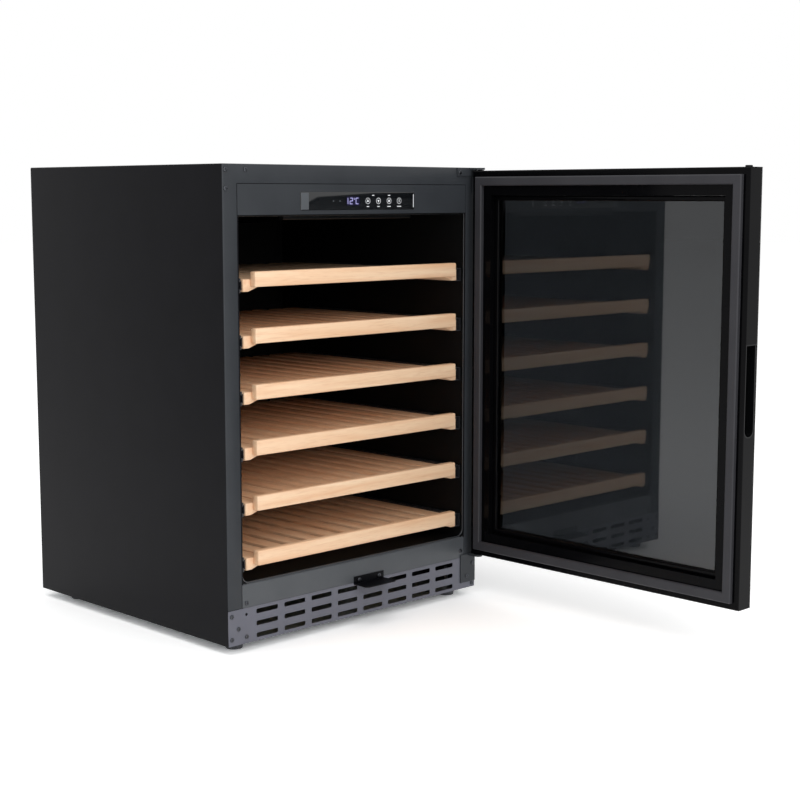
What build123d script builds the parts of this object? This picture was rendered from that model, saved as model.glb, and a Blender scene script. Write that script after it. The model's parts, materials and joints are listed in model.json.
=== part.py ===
"""Under-counter wine cooler: insulated cabinet, hinged glass door, pull-out beech shelves on slides."""
import os
from math import cos, radians, sin

from build123d import *

os.makedirs("parts", exist_ok=True)

# Cabinet shell
cabinet_width = 595.0
cabinet_depth = 565.0
cabinet_height = 790.0
foot_gap = 15.0
sheet = 1.0
pan_sheet = 1.5
stile_width = 30.0
toe_height = 60.0
sill_height = 40.0
sill_lip = 9.0
top_rail_height = 32.0

# Liner, insulation and machine compartment
liner_wall = 2.0
liner_radius = 16.0
back_foam = 42.0
floor_foam = 37.0
hump_depth = 215.0
hump_height = 107.0
hump_foam = 33.0
air_divider_sheet = 1.5

# Control fascia and light
fascia_height = 50.0
fascia_thickness = 3.0
fascia_pocket_depth = 60.0
fascia_pocket_floor = 8.0
window_width = 268.0
window_height = 31.0
window_rise = 6.5
window_corner = 3.0
window_thickness = 1.6
board_width = 240.0
board_height = 24.0
board_thickness = 1.6
board_post_length = 6.0
board_post_diameter = 6.0
board_post_margin = 8.0
light_width = 300.0
light_depth = 12.0
light_height = 7.0
light_setback = 25.0
light_round = 2.5

# Toe grille
slot_length = 47.0
slot_height = 8.0
slot_corner = 2.6
slot_end_margin = 59.45
slot_row_pitch = 20.5
slot_rows = 3
slots_per_row = 8
spare_hole_diameter = 5.0
spare_hole_inset = 38.0
spare_hole_rise = 49.0

# Catch plate under the door
catch_offset = 20.0
catch_width = 72.0
catch_reach = 36.0
catch_plate_sheet = 1.5
catch_drop = 3.0
catch_tab_height = 14.0
catch_corner = 6.0

# Shelves
full_shelf_count = 5
short_shelf_rise = 53.7
hump_shelf_rise = 39.3
top_shelf_headroom = 89.3
shelf_rear_gap = 8.0
bar_width = 475.0
bar_height = 25.0
bar_thickness = 14.0
bar_proud = 6.5
bar_round = 2.0
rail_outer_gap = 15.0
rail_width = 35.0
rail_drop = 12.5
rail_height = 20.5
rail_foot_width = 12.0
rail_foot_depth = 8.0
slat_count = 10
slat_width = 30.0
slat_thickness = 8.0
slat_margin = 6.75
slat_bevel = 1.2
batten_count = 3
batten_width = 25.0
batten_thickness = 7.0
batten_end_margin = 20.0

# Telescopic shelf slides
slide_height = 24.0
slide_thickness = 13.0
slide_steel = 1.2
slide_lip = 4.0
slide_clearance = 0.35
slide_setback = 10.5
slide_rear_margin = 30.0
runner_steel = 1.4

# Air duct at the back of the liner
duct_width = 420.0
duct_depth = 49.5
duct_wall = 2.0
duct_bottom_gap = 20.0
duct_top_gap = 21.0
duct_slot_length = 90.0
duct_slot_height = 6.0
duct_slot_pitch = 14.0
duct_slot_count = 4
duct_intake_rise = 56.0
duct_intake_columns = 3
duct_intake_rows = 1
duct_intake_pitch = 135.0
evaporator_width = 300.0
evaporator_height = 180.0
evaporator_depth = 36.0
evaporator_core = 12.0
evaporator_fin = 1.2
evaporator_fin_count = 16
evaporator_rise = 18.0

# Fans
fan_strut = 4.0
fan_shaft_diameter = 5.0
fan_shaft_clearance = 0.05
fan_axial_gap = 0.5
fan_blade_count = 7
fan_root_tilt = 42.0
fan_tip_tilt = 26.0
fan_blade_thickness = 1.6
fan_blade_sink = 4.0
fan_hub_cap = 2.0
fan_corner = 5.0
room_fan_size = 92.0
room_fan_depth = 25.0
room_fan_bore = 86.0
room_fan_hub = 34.0
room_fan_tip = 78.0
room_fan_chord = 17.0
room_fan_drop = 130.0
machine_fan_size = 120.0
machine_fan_depth = 30.0
machine_fan_bore = 114.0
machine_fan_hub = 42.0
machine_fan_tip = 104.0
machine_fan_chord = 22.0
machine_fan_gap = 75.0

# Machine compartment
machine_setback = 92.0
compressor_inset = 147.5
compressor_diameter = 140.0
compressor_height = 136.0
compressor_shoulder = 30.0
compressor_plate_length = 170.0
compressor_plate_width = 110.0
compressor_plate_sheet = 3.0
compressor_stub_length = 9.0
compressor_stub_reach = 66.0
grommet_diameter = 20.0
grommet_height = 10.0
grommet_margin = 14.0
drip_tray_length = 120.0
drip_tray_width = 110.0
drip_tray_height = 14.0
drip_tray_wall = 1.5
condenser_fan_clearance = 25.0
condenser_length = 150.0
condenser_height = 130.0
condenser_thickness = 60.0
condenser_core = 20.0
condenser_fin = 1.2
condenser_fin_count = 15
pipe_diameter = 6.0
pipe_arch = 14.0
pipe_bend = 9.0
drier_diameter = 19.0
drier_height = 105.0
drier_neck = 6.0
drier_taper = 14.0
drier_gap = 40.0
cover_slot_length = 80.0
cover_slot_width = 6.0
cover_slot_pitch = 27.0
cover_slot_count = 8
gland_diameter = 16.0
gland_flange = 22.0
gland_flange_thickness = 2.0
gland_length = 14.0
gland_bore = 9.0
gland_inset = 60.0
gland_rise = 40.0

# Levelling feet
foot_side_inset = 40.0
foot_front_inset = 36.0
foot_rear_inset = 62.0
foot_top_diameter = 31.0
foot_floor_diameter = 28.0
foot_seat_gap = 0.3
foot_groove_count = 12
foot_groove_side = 1.8
foot_stud_diameter = 8.0
foot_stud_length = 38.0
foot_nut_width = 15.0
foot_nut_height = 10.0
foot_thread_clearance = 0.3

# Door
door_side_gap = 1.0
door_top_gap = 5.6
door_bottom_gap = 7.6
door_thickness = 38.0
door_standoff = 8.0
door_member = 45.0
door_edge_round = 2.5
door_rest_angle = 90.0
outer_glass_thickness = 5.0
outer_glass_bevel = 3.0
inner_glass_thickness = 4.0
glass_gap = 12.0
glass_edge_gap = 0.5
spacer_width = 8.0
gasket_inset = 11.5
gasket_width = 16.0
gasket_clearance = 0.4
gasket_base = 1.4
gasket_lip = 1.6
gasket_fold_count = 2
gasket_fold_depth = 3.0
grip_height = 148.0
grip_width = 24.5
grip_depth = 18.0
grip_rise = 367.0
grip_wall = 1.5
grip_round = 11.0
plug_diameter = 12.0
plug_height = 2.7
plug_bevel = 0.9
plug_stem_diameter = 8.0
plug_stem_length = 8.0
handle_plug_spacing = 350.0
handle_plug_inset = 26.0
handle_plug_diameter = 10.0
handle_plug_height = 1.2

# Hinges
hinge_inset = 10.0
hinge_forward = 10.0
hinge_pin_diameter = 8.0
hinge_pin_clearance = 0.05
hinge_pin_engagement = 12.0
hinge_leaf = 3.4
hinge_leaf_end = 9.0
hinge_leaf_gap = 0.5
hinge_flange = 2.5
hinge_flange_width = 10.5
hinge_top_flange_length = 52.0
hinge_top_flange_height = 45.0
hinge_strip_height = 15.0
hinge_foot_width = 39.0
hinge_foot_height = 54.0
hinge_edge_margin = 1.0
bush_diameter = 12.0
bush_flange_diameter = 15.0
bush_flange_thickness = 1.2
bush_fit = 0.05

# Levels and planes that the pieces share
half_width = cabinet_width / 2
front_y = -cabinet_depth / 2
back_y = cabinet_depth / 2
body_z = foot_gap
top_z = body_z + cabinet_height
pan_top = body_z + pan_sheet
toe_top = body_z + toe_height
opening_bottom = toe_top + sill_height
opening_half = half_width - stile_width
rail_bottom = top_z - top_rail_height
liner_top = rail_bottom - fascia_height
opening_top = liner_top - liner_wall
liner_front = front_y + sheet
liner_back = back_y - sheet - back_foam - liner_wall
liner_half = opening_half + liner_wall
liner_bottom = opening_bottom - liner_wall
hump_front = back_y - hump_depth
hump_top = opening_bottom + hump_height
machine_ceiling = hump_top - liner_wall - hump_foam
machine_front = hump_front + liner_wall + hump_foam
duct_ceiling = liner_bottom - floor_foam
machine_y = back_y - machine_setback


def slab(x_span, y_span, z_span, plane=Plane.XY):
    """A plate or block between two faces on each axis of the plane."""
    with BuildPart() as block:
        with BuildSketch(plane.offset(z_span[0])):
            with Locations((sum(x_span) / 2, sum(y_span) / 2)):
                Rectangle(x_span[1] - x_span[0], y_span[1] - y_span[0])
        extrude(amount=z_span[1] - z_span[0])
    return block.part


def write(name, *solids):
    """Label a piece, or a group of separate solids, and write its file."""
    piece = solids[0] if len(solids) == 1 else Compound(children=list(solids))
    piece.label = name
    export_step(piece, f"parts/{name}.step")


# Outer shell: flat side, top and back sheets over a base pan
side_inner = half_width - sheet
for side, sign in (("left", -1), ("right", 1)):
    side_span = sorted((sign * side_inner, sign * half_width))
    write(f"{side}_side_panel", slab(side_span, (liner_front, back_y), (body_z, top_z - sheet)))
write("top_panel", slab((-half_width, half_width), (front_y, back_y), (top_z - sheet, top_z)))
write(
    "back_panel",
    slab((-side_inner, side_inner), (back_y - sheet, back_y), (machine_ceiling, top_z - sheet)),
)

foot_x = half_width - foot_side_inset
foot_spots = {
    "front_left_foot": (-foot_x, front_y + foot_front_inset),
    "front_right_foot": (foot_x, front_y + foot_front_inset),
    "rear_left_foot": (-foot_x, back_y - foot_rear_inset),
    "rear_right_foot": (foot_x, back_y - foot_rear_inset),
}
foot_hole = foot_stud_diameter / 2 + foot_thread_clearance

with BuildPart() as base_pan:
    with BuildSketch(Plane.XY.offset(body_z)):
        with Locations((0, (liner_front + back_y) / 2)):
            Rectangle(2 * side_inner, back_y - liner_front)
        with Locations(*foot_spots.values()):
            Circle(foot_hole, mode=Mode.SUBTRACT)
    extrude(amount=pan_sheet)
write("base_pan", base_pan.part)

with BuildPart() as foot_nuts:
    with BuildSketch(Plane.XY.offset(pan_top)):
        with Locations(*foot_spots.values()):
            RegularPolygon(foot_nut_width / 2, 6, major_radius=False)
            Circle(foot_hole, mode=Mode.SUBTRACT)
    extrude(amount=foot_nut_height)
write("foot_nuts", foot_nuts.part)

# Front frame: two stiles and a top rail cut from one sheet
rising = (Align.CENTER, Align.MIN)
with BuildPart() as front_frame:
    with BuildSketch(Plane.XZ.offset(-liner_front)):
        with Locations((0, toe_top)):
            Rectangle(cabinet_width, top_z - sheet - toe_top, align=rising)
            Rectangle(2 * opening_half, rail_bottom - toe_top, align=rising, mode=Mode.SUBTRACT)
    extrude(amount=sheet)
write("front_frame", front_frame.part)

# Sill: its top edge folds back over the floor of the liner
with BuildPart() as front_sill:
    with BuildSketch(Plane.XZ.offset(-liner_front)):
        with Locations((0, toe_top)):
            Rectangle(2 * opening_half, sill_height, align=rising)
    extrude(amount=sheet)
    with BuildSketch(Plane.XY.offset(opening_bottom)):
        with Locations((0, front_y)):
            Rectangle(2 * (opening_half - liner_radius), sill_lip, align=rising)
    extrude(amount=sheet)
    sill_fold = front_sill.edges().filter_by(Axis.X).group_by(Axis.Z)[-1].sort_by(Axis.Y)[0]
    fillet(sill_fold, sheet / 2)
write("front_sill", front_sill.part)

slot_pitch = (cabinet_width - 2 * slot_end_margin - slot_length) / (slots_per_row - 1)

# Toe grille: one sheet with rows of round-cornered air slots, and a spare hole for a left-hung door
with BuildPart() as toe_grille:
    with BuildSketch(Plane.XZ.offset(-liner_front)):
        with Locations((0, body_z + toe_height / 2)):
            Rectangle(cabinet_width, toe_height)
            with GridLocations(slot_pitch, slot_row_pitch, slots_per_row, slot_rows):
                RectangleRounded(slot_length, slot_height, slot_corner, mode=Mode.SUBTRACT)
        with Locations((spare_hole_inset - half_width, body_z + spare_hole_rise)):
            Circle(spare_hole_diameter / 2, mode=Mode.SUBTRACT)
    extrude(amount=sheet)
write("toe_grille", toe_grille.part)

# Catch plate: an L of sheet screwed to the sill, reaching forward under the door
catch_z = toe_top - catch_drop
with BuildPart() as catch_plate:
    with BuildSketch(Plane.XY.offset(catch_z)):
        with Locations((catch_offset, front_y - catch_reach / 2)):
            Rectangle(catch_width, catch_reach)
        fillet(vertices().group_by(Axis.Y)[0], catch_corner)
    extrude(amount=catch_plate_sheet)
    with BuildSketch(Plane.XZ.offset(-front_y)):
        with Locations((catch_offset, catch_z + catch_tab_height / 2)):
            Rectangle(catch_width, catch_tab_height)
    extrude(amount=catch_plate_sheet)
write("catch_plate", catch_plate.part)

# Liner: one vacuum-formed skin, stepped over the machine compartment, open at the front
with BuildPart() as inner_liner:
    with BuildSketch(Plane.YZ.offset(-liner_half)):
        with BuildLine():
            Polyline(
                (liner_front, liner_bottom),
                (hump_front + liner_wall, liner_bottom),
                (hump_front + liner_wall, hump_top - liner_wall),
                (liner_back + liner_wall, hump_top - liner_wall),
                (liner_back + liner_wall, liner_top),
                (liner_front, liner_top),
                close=True,
            )
        make_face()
    extrude(amount=2 * liner_half)
    long_edges = inner_liner.edges().filter_by(Axis.Y).group_by(Axis.Z)[0]
    fillet(long_edges, liner_radius)
    offset(amount=-liner_wall, openings=inner_liner.faces().sort_by(Axis.Y)[0])
write("inner_liner", inner_liner.part)

# Insulation: foam slabs that fill the space between liner and sheet
foam_top = top_z - sheet
foam_back = back_y - sheet
write(
    "insulation",
    slab((-side_inner, -liner_half), (liner_front, foam_back), (machine_ceiling, foam_top)),
    slab((liner_half, side_inner), (liner_front, foam_back), (machine_ceiling, foam_top)),
    slab((-side_inner, -liner_half), (liner_front, machine_front), (duct_ceiling, machine_ceiling)),
    slab((liner_half, side_inner), (liner_front, machine_front), (duct_ceiling, machine_ceiling)),
    slab((-liner_half, liner_half), (liner_front, foam_back), (rail_bottom, foam_top)),
    slab(
        (-liner_half, liner_half),
        (front_y + fascia_pocket_depth, foam_back),
        (liner_top, rail_bottom),
    ),
    slab(
        (-liner_half, liner_half),
        (front_y + fascia_thickness, front_y + fascia_pocket_depth),
        (liner_top, liner_top + fascia_pocket_floor),
    ),
    slab(
        (-liner_half, liner_half),
        (liner_back + liner_wall, foam_back),
        (hump_top - liner_wall, liner_top),
    ),
    slab(
        (-liner_half, liner_half),
        (hump_front + liner_wall, foam_back),
        (machine_ceiling, hump_top - liner_wall),
    ),
    slab(
        (-liner_half, liner_half),
        (hump_front + liner_wall, machine_front),
        (duct_ceiling, machine_ceiling),
    ),
    slab(
        (-liner_half, liner_half),
        (liner_front, hump_front + liner_wall),
        (duct_ceiling, liner_bottom),
    ),
)
write(
    "air_divider",
    slab(
        (-air_divider_sheet / 2, air_divider_sheet / 2),
        (liner_front, machine_front),
        (pan_top, duct_ceiling),
    ),
)

# Control fascia: a plate with a pocket for the glossy window and four posts for the board
fascia_z = (liner_top + rail_bottom) / 2
window_z = liner_top + window_rise + window_height / 2
fascia_back = front_y + fascia_thickness
post_x = board_width / 2 - board_post_margin
post_z = board_height / 2 - board_post_diameter / 2
with BuildPart() as control_fascia:
    with BuildSketch(Plane.XZ.offset(-fascia_back)):
        with Locations((0, fascia_z)):
            Rectangle(2 * opening_half, fascia_height)
    extrude(amount=fascia_thickness)
    with BuildSketch(Plane.XZ.offset(-front_y)):
        with Locations((0, window_z)):
            RectangleRounded(window_width, window_height, window_corner)
    extrude(amount=-window_thickness, mode=Mode.SUBTRACT)
    with BuildSketch(Plane.XZ.offset(-fascia_back)):
        with Locations((0, window_z)):
            with GridLocations(2 * post_x, 2 * post_z, 2, 2):
                Circle(board_post_diameter / 2)
    extrude(amount=-board_post_length)
write("control_fascia", control_fascia.part)

with BuildPart() as control_window:
    with BuildSketch(Plane.XZ.offset(-(front_y + window_thickness))):
        with Locations((0, window_z)):
            RectangleRounded(window_width, window_height, window_corner)
    extrude(amount=window_thickness)
write("control_window", control_window.part)

board_y = fascia_back + board_post_length
write(
    "control_board",
    slab(
        (-board_width / 2, board_width / 2),
        (board_y, board_y + board_thickness),
        (window_z - board_height / 2, window_z + board_height / 2),
    ),
)

# Light strip: a rounded diffuser under the liner's ceiling
light_y = front_y + light_setback + light_depth / 2
with BuildPart() as light_strip:
    with BuildSketch(Plane.YZ.offset(-light_width / 2)):
        with Locations((light_y, opening_top - light_height / 2)):
            Rectangle(light_depth, light_height)
        fillet(vertices().group_by(Axis.Y)[0], light_round)
    extrude(amount=light_width)
write("light_strip", light_strip.part)

# Shelves: beech front bar, two side rails, battens and slats, on steel runners
top_shelf_level = opening_top - top_shelf_headroom
hump_shelf_level = hump_top + hump_shelf_rise
short_shelf_level = opening_bottom + short_shelf_rise
shelf_pitch = (top_shelf_level - hump_shelf_level) / (full_shelf_count - 1)
duct_front = liner_back - duct_depth
bar_front = front_y - bar_proud
bar_back = bar_front + bar_thickness
rail_outer = opening_half - rail_outer_gap
rail_inner = rail_outer - rail_width
slat_pitch = (2 * (rail_inner - slat_margin) - slat_width) / (slat_count - 1)
channel_inner = opening_half - slide_thickness
slide_half = slide_height / 2
lip_half = slide_half - slide_lip
crown_half = lip_half - slide_clearance
brim_half = slide_half - slide_steel - slide_clearance
brim_x = channel_inner + slide_steel + slide_clearance
slide_front = front_y + slide_setback
channels = []

shelf_places = [(top_shelf_level - place * shelf_pitch, duct_front) for place in range(full_shelf_count)]
shelf_places.append((short_shelf_level, hump_front))

for number, (shelf_top, rear_wall) in enumerate(shelf_places, start=1):
    rail_top = shelf_top - rail_drop
    shelf_rear = rear_wall - shelf_rear_gap
    slide_rear = shelf_rear - slide_rear_margin
    slide_z = rail_top - rail_height / 2

    with BuildPart() as front_bar:
        with BuildSketch(Plane.XZ.offset(-bar_back)):
            with Locations((0, shelf_top - bar_height / 2)):
                Rectangle(bar_width, bar_height)
        extrude(amount=bar_thickness)
        fillet(front_bar.faces().sort_by(Axis.Y)[0].edges(), bar_round)

    with BuildPart() as side_rails:
        with BuildSketch(Plane.XZ.offset(-bar_back)):
            with BuildLine():
                Polyline(
                    (rail_outer, rail_top),
                    (rail_outer, rail_top - rail_height),
                    (rail_outer - rail_foot_width, rail_top - rail_height),
                    (rail_inner, rail_top - rail_height + rail_foot_depth),
                    (rail_inner, rail_top),
                    close=True,
                )
            make_face()
            mirror(about=Plane.YZ)
        extrude(amount=-(shelf_rear - bar_back))

    with BuildPart() as slats:
        with BuildSketch(Plane.XZ.offset(-bar_back)):
            with Locations((0, rail_top - slat_thickness / 2)):
                with GridLocations(slat_pitch, slat_thickness, slat_count, 1):
                    Rectangle(slat_width, slat_thickness)
            chamfer(vertices().group_by(Axis.Y)[-1], slat_bevel)
        extrude(amount=-(shelf_rear - bar_back))

    batten_run = shelf_rear - bar_back - 2 * batten_end_margin - batten_width
    with BuildPart() as battens:
        with BuildSketch(Plane.XY.offset(rail_top - slat_thickness - batten_thickness)):
            with Locations((0, (bar_back + shelf_rear) / 2)):
                with GridLocations(2 * rail_inner, batten_run / (batten_count - 1), 1, batten_count):
                    Rectangle(2 * rail_inner, batten_width)
        extrude(amount=batten_thickness)
    write(
        f"shelf_{number}",
        front_bar.part,
        *side_rails.part.solids(),
        *slats.part.solids(),
        *battens.part.solids(),
    )

    # Runner: a steel hat section screwed to the side rail, its brims held behind the channel's lips
    with BuildPart() as runners:
        with BuildSketch(Plane.XZ.offset(-slide_front)):
            with BuildLine():
                Polyline(
                    (brim_x, slide_z - brim_half),
                    (brim_x, slide_z - crown_half),
                    (rail_outer, slide_z - crown_half),
                    (rail_outer, slide_z + crown_half),
                    (brim_x, slide_z + crown_half),
                    (brim_x, slide_z + brim_half),
                )
                offset(amount=runner_steel, kind=Kind.INTERSECTION, side=Side.RIGHT)
            make_face()
            mirror(about=Plane.YZ)
        extrude(amount=-(slide_rear - slide_front))
    write(f"shelf_{number}_runners", *runners.part.solids())

    # Channel: the fixed section on the liner wall, whose lips wrap the runner's brims
    with BuildPart() as channel:
        with BuildSketch(Plane.XZ.offset(-slide_front)):
            with BuildLine():
                Polyline(
                    (channel_inner, slide_z - lip_half),
                    (channel_inner, slide_z - slide_half),
                    (opening_half, slide_z - slide_half),
                    (opening_half, slide_z + slide_half),
                    (channel_inner, slide_z + slide_half),
                    (channel_inner, slide_z + lip_half),
                )
                offset(amount=slide_steel, kind=Kind.INTERSECTION, side=Side.LEFT)
            make_face()
            mirror(about=Plane.YZ)
        extrude(amount=-(slide_rear - slide_front))
    channels += channel.part.solids()
write("slide_channels", *channels)


def fan(name, plane, size, depth, bore, hub, tip, chord):
    """An axial fan: square frame with a motor spider and shaft, and a rotor with twisted blades on it."""
    rotor_length = depth - fan_strut - 2 * fan_axial_gap
    shaft_length = rotor_length - fan_hub_cap
    with BuildPart() as frame:
        with BuildSketch(plane):
            RectangleRounded(size, size, fan_corner)
            Circle(bore / 2, mode=Mode.SUBTRACT)
        extrude(amount=depth)
        with BuildSketch(plane):
            Circle(hub / 2)
            Rectangle(bore + fan_strut, fan_strut)
            Rectangle(fan_strut, bore + fan_strut)
        extrude(amount=fan_strut)
        with BuildSketch(plane.offset(fan_strut)):
            Circle(fan_shaft_diameter / 2)
        extrude(amount=shaft_length)
    write(f"{name}_frame", frame.part)

    rotor_base = plane.offset(fan_strut + fan_axial_gap)
    blade_ends = ((hub / 2 - fan_blade_sink, fan_root_tilt), (tip / 2, fan_tip_tilt))
    with BuildPart() as rotor:
        with BuildSketch(rotor_base):
            Circle(hub / 2)
        extrude(amount=rotor_length)
        for blade in range(fan_blade_count):
            turn = Rotation(0, 0, blade * 360 / fan_blade_count)
            spun = Plane(rotor_base.offset(rotor_length / 2).location * turn)
            for radius, tilt in blade_ends:
                lean = spun.y_dir * cos(radians(tilt)) + spun.z_dir * sin(radians(tilt))
                with BuildSketch(Plane(spun.from_local_coords((radius, 0, 0)), lean, spun.x_dir)):
                    Rectangle(chord, fan_blade_thickness)
            loft()
        with BuildSketch(rotor_base):
            Circle(fan_shaft_diameter / 2 + fan_shaft_clearance)
        extrude(amount=shaft_length, mode=Mode.SUBTRACT)
    write(f"{name}_rotor", rotor.part)


# Air duct cover: a shallow formed tray against the liner's back wall, slotted for air
duct_bottom = hump_top + duct_bottom_gap
duct_top = opening_top - duct_top_gap
fan_z = duct_top - room_fan_drop
with BuildPart() as air_duct_cover:
    with BuildSketch(Plane.XZ.offset(-liner_back)):
        with Locations((0, (duct_bottom + duct_top) / 2)):
            RectangleRounded(duct_width, duct_top - duct_bottom, liner_radius)
    extrude(amount=duct_depth)
    offset(amount=-duct_wall, openings=air_duct_cover.faces().sort_by(Axis.Y)[-1])
    with BuildSketch(Plane.XZ.offset(-(duct_front + duct_wall))):
        with Locations((0, fan_z)):
            with GridLocations(duct_slot_length, duct_slot_pitch, 1, duct_slot_count):
                SlotOverall(duct_slot_length, duct_slot_height)
        with Locations((0, duct_bottom + duct_intake_rise)):
            with GridLocations(duct_intake_pitch, duct_slot_pitch, duct_intake_columns, duct_intake_rows):
                SlotOverall(duct_slot_length, duct_slot_height)
    extrude(amount=duct_wall, mode=Mode.SUBTRACT)
write("air_duct_cover", air_duct_cover.part)

evaporator_pitch = (evaporator_width - evaporator_fin) / (evaporator_fin_count - 1)
with BuildPart() as evaporator:
    with BuildSketch(Plane.XY.offset(duct_bottom + evaporator_rise)):
        with Locations((0, liner_back - evaporator_depth / 2)):
            Rectangle(evaporator_width, evaporator_core)
            with GridLocations(evaporator_pitch, evaporator_depth, evaporator_fin_count, 1):
                Rectangle(evaporator_fin, evaporator_depth)
    extrude(amount=evaporator_height)
write("evaporator", evaporator.part)

fan(
    "circulation_fan",
    Plane((0, duct_front + duct_wall + room_fan_depth, fan_z), x_dir=(1, 0, 0), z_dir=(0, -1, 0)),
    room_fan_size,
    room_fan_depth,
    room_fan_bore,
    room_fan_hub,
    room_fan_tip,
    room_fan_chord,
)

# Machine compartment: condenser, fan and compressor in a row on the base pan
compressor_x = half_width - compressor_inset
shell_radius = compressor_diameter / 2
machine_fan_x = compressor_x - compressor_plate_length / 2 - machine_fan_gap - machine_fan_depth
condenser_x = machine_fan_x - condenser_fan_clearance - condenser_thickness / 2
fan(
    "condenser_fan",
    Plane(
        (machine_fan_x, machine_y, pan_top + machine_fan_size / 2),
        x_dir=(0, 1, 0),
        z_dir=(1, 0, 0),
    ),
    machine_fan_size,
    machine_fan_depth,
    machine_fan_bore,
    machine_fan_hub,
    machine_fan_tip,
    machine_fan_chord,
)

condenser_pitch = (condenser_length - condenser_fin) / (condenser_fin_count - 1)
with BuildPart() as condenser:
    with BuildSketch(Plane.XY.offset(pan_top)):
        with Locations((condenser_x, machine_y)):
            Rectangle(condenser_core, condenser_length)
            with GridLocations(condenser_thickness, condenser_pitch, 1, condenser_fin_count):
                Rectangle(condenser_thickness, condenser_fin)
    extrude(amount=condenser_height)
write("condenser", condenser.part)

grommet_x = compressor_plate_length / 2 - grommet_margin
grommet_y = compressor_plate_width / 2 - grommet_margin
plate_bottom = pan_top + grommet_height
shell_bottom = plate_bottom + compressor_plate_sheet
with BuildPart() as compressor_grommets:
    with BuildSketch(Plane.XY.offset(pan_top)):
        with Locations((compressor_x, machine_y)):
            with GridLocations(2 * grommet_x, 2 * grommet_y, 2, 2):
                Circle(grommet_diameter / 2)
    extrude(amount=grommet_height)
write("compressor_grommets", *compressor_grommets.part.solids())

compressor_plane = Plane((compressor_x, machine_y, shell_bottom), x_dir=(1, 0, 0), z_dir=(0, -1, 0))
shell_top = shell_bottom + compressor_height
stub_x = compressor_x - compressor_stub_reach
stub_z = shell_top - compressor_shoulder + compressor_stub_length
with BuildPart() as compressor:
    with BuildSketch(compressor_plane):
        with BuildLine():
            Polyline(
                (0, 0),
                (shell_radius, 0),
                (shell_radius, compressor_height - compressor_shoulder),
                (shell_radius - compressor_shoulder, compressor_height),
                (0, compressor_height),
                close=True,
            )
        make_face()
    revolve(axis=Axis((compressor_x, machine_y, 0), (0, 0, 1)))
    with BuildSketch(Plane.XY.offset(plate_bottom)):
        with Locations((compressor_x, machine_y)):
            RectangleRounded(compressor_plate_length, compressor_plate_width, grommet_margin)
    extrude(amount=compressor_plate_sheet)
    with BuildSketch(Plane.XY.offset(stub_z)):
        with Locations((stub_x, machine_y)):
            Circle(pipe_diameter / 2)
    extrude(amount=-2 * compressor_stub_length)
write("compressor", compressor.part)

with BuildPart() as drip_tray:
    with BuildSketch(Plane.XY.offset(shell_top)):
        with Locations((compressor_x, machine_y)):
            RectangleRounded(drip_tray_length, drip_tray_width, grommet_margin)
    extrude(amount=drip_tray_height)
    offset(amount=-drip_tray_wall, openings=drip_tray.faces().sort_by(Axis.Z)[-1])
write("drip_tray", drip_tray.part)

condenser_top = pan_top + condenser_height
arch_z = max(condenser_top, pan_top + machine_fan_size, stub_z) + pipe_arch
with BuildPart() as discharge_pipe:
    with BuildLine():
        FilletPolyline(
            (stub_x, machine_y, stub_z),
            (stub_x, machine_y, arch_z),
            (condenser_x, machine_y, arch_z),
            (condenser_x, machine_y, condenser_top),
            radius=pipe_bend,
        )
    with BuildSketch(Plane.XY.offset(stub_z)):
        with Locations((stub_x, machine_y)):
            Circle(pipe_diameter / 2)
    sweep()
write("discharge_pipe", discharge_pipe.part)

drier_x = condenser_x - condenser_thickness / 2 - drier_gap
with BuildPart() as filter_drier:
    with BuildSketch(Plane((drier_x, machine_y, pan_top), x_dir=(1, 0, 0), z_dir=(0, -1, 0))):
        with BuildLine():
            Polyline(
                (0, 0),
                (drier_neck / 2, 0),
                (drier_diameter / 2, drier_taper),
                (drier_diameter / 2, drier_height - drier_taper),
                (drier_neck / 2, drier_height),
                (0, drier_height),
                close=True,
            )
        make_face()
    revolve(axis=Axis((drier_x, machine_y, 0), (0, 0, 1)))
write("filter_drier", filter_drier.part)

# Rear cover of the machine compartment, with upright air slots and the mains gland
gland_x = -side_inner + gland_inset
gland_z = pan_top + gland_rise
cover_z = (pan_top + machine_ceiling) / 2
with BuildPart() as rear_cover:
    with BuildSketch(Plane.XZ.offset(-back_y)):
        with Locations((0, cover_z)):
            Rectangle(2 * side_inner, machine_ceiling - pan_top)
            with GridLocations(cover_slot_pitch, cover_slot_length, cover_slot_count, 1):
                SlotOverall(cover_slot_length, cover_slot_width, rotation=90, mode=Mode.SUBTRACT)
        with Locations((gland_x, gland_z)):
            Circle(gland_diameter / 2, mode=Mode.SUBTRACT)
    extrude(amount=sheet)
write("rear_cover", rear_cover.part)

with BuildPart() as cable_gland:
    with BuildSketch(Plane.XZ.offset(-back_y)):
        with Locations((gland_x, gland_z)):
            Circle(gland_diameter / 2)
    extrude(amount=gland_length)
    with BuildSketch(Plane.XZ.offset(-(back_y - sheet))):
        with Locations((gland_x, gland_z)):
            Circle(gland_flange / 2)
    extrude(amount=gland_flange_thickness)
    with BuildSketch(Plane.XZ.offset(-back_y)):
        with Locations((gland_x, gland_z)):
            Circle(gland_bore / 2)
    extrude(amount=gland_length, mode=Mode.SUBTRACT)
write("cable_gland", cable_gland.part)

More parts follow.
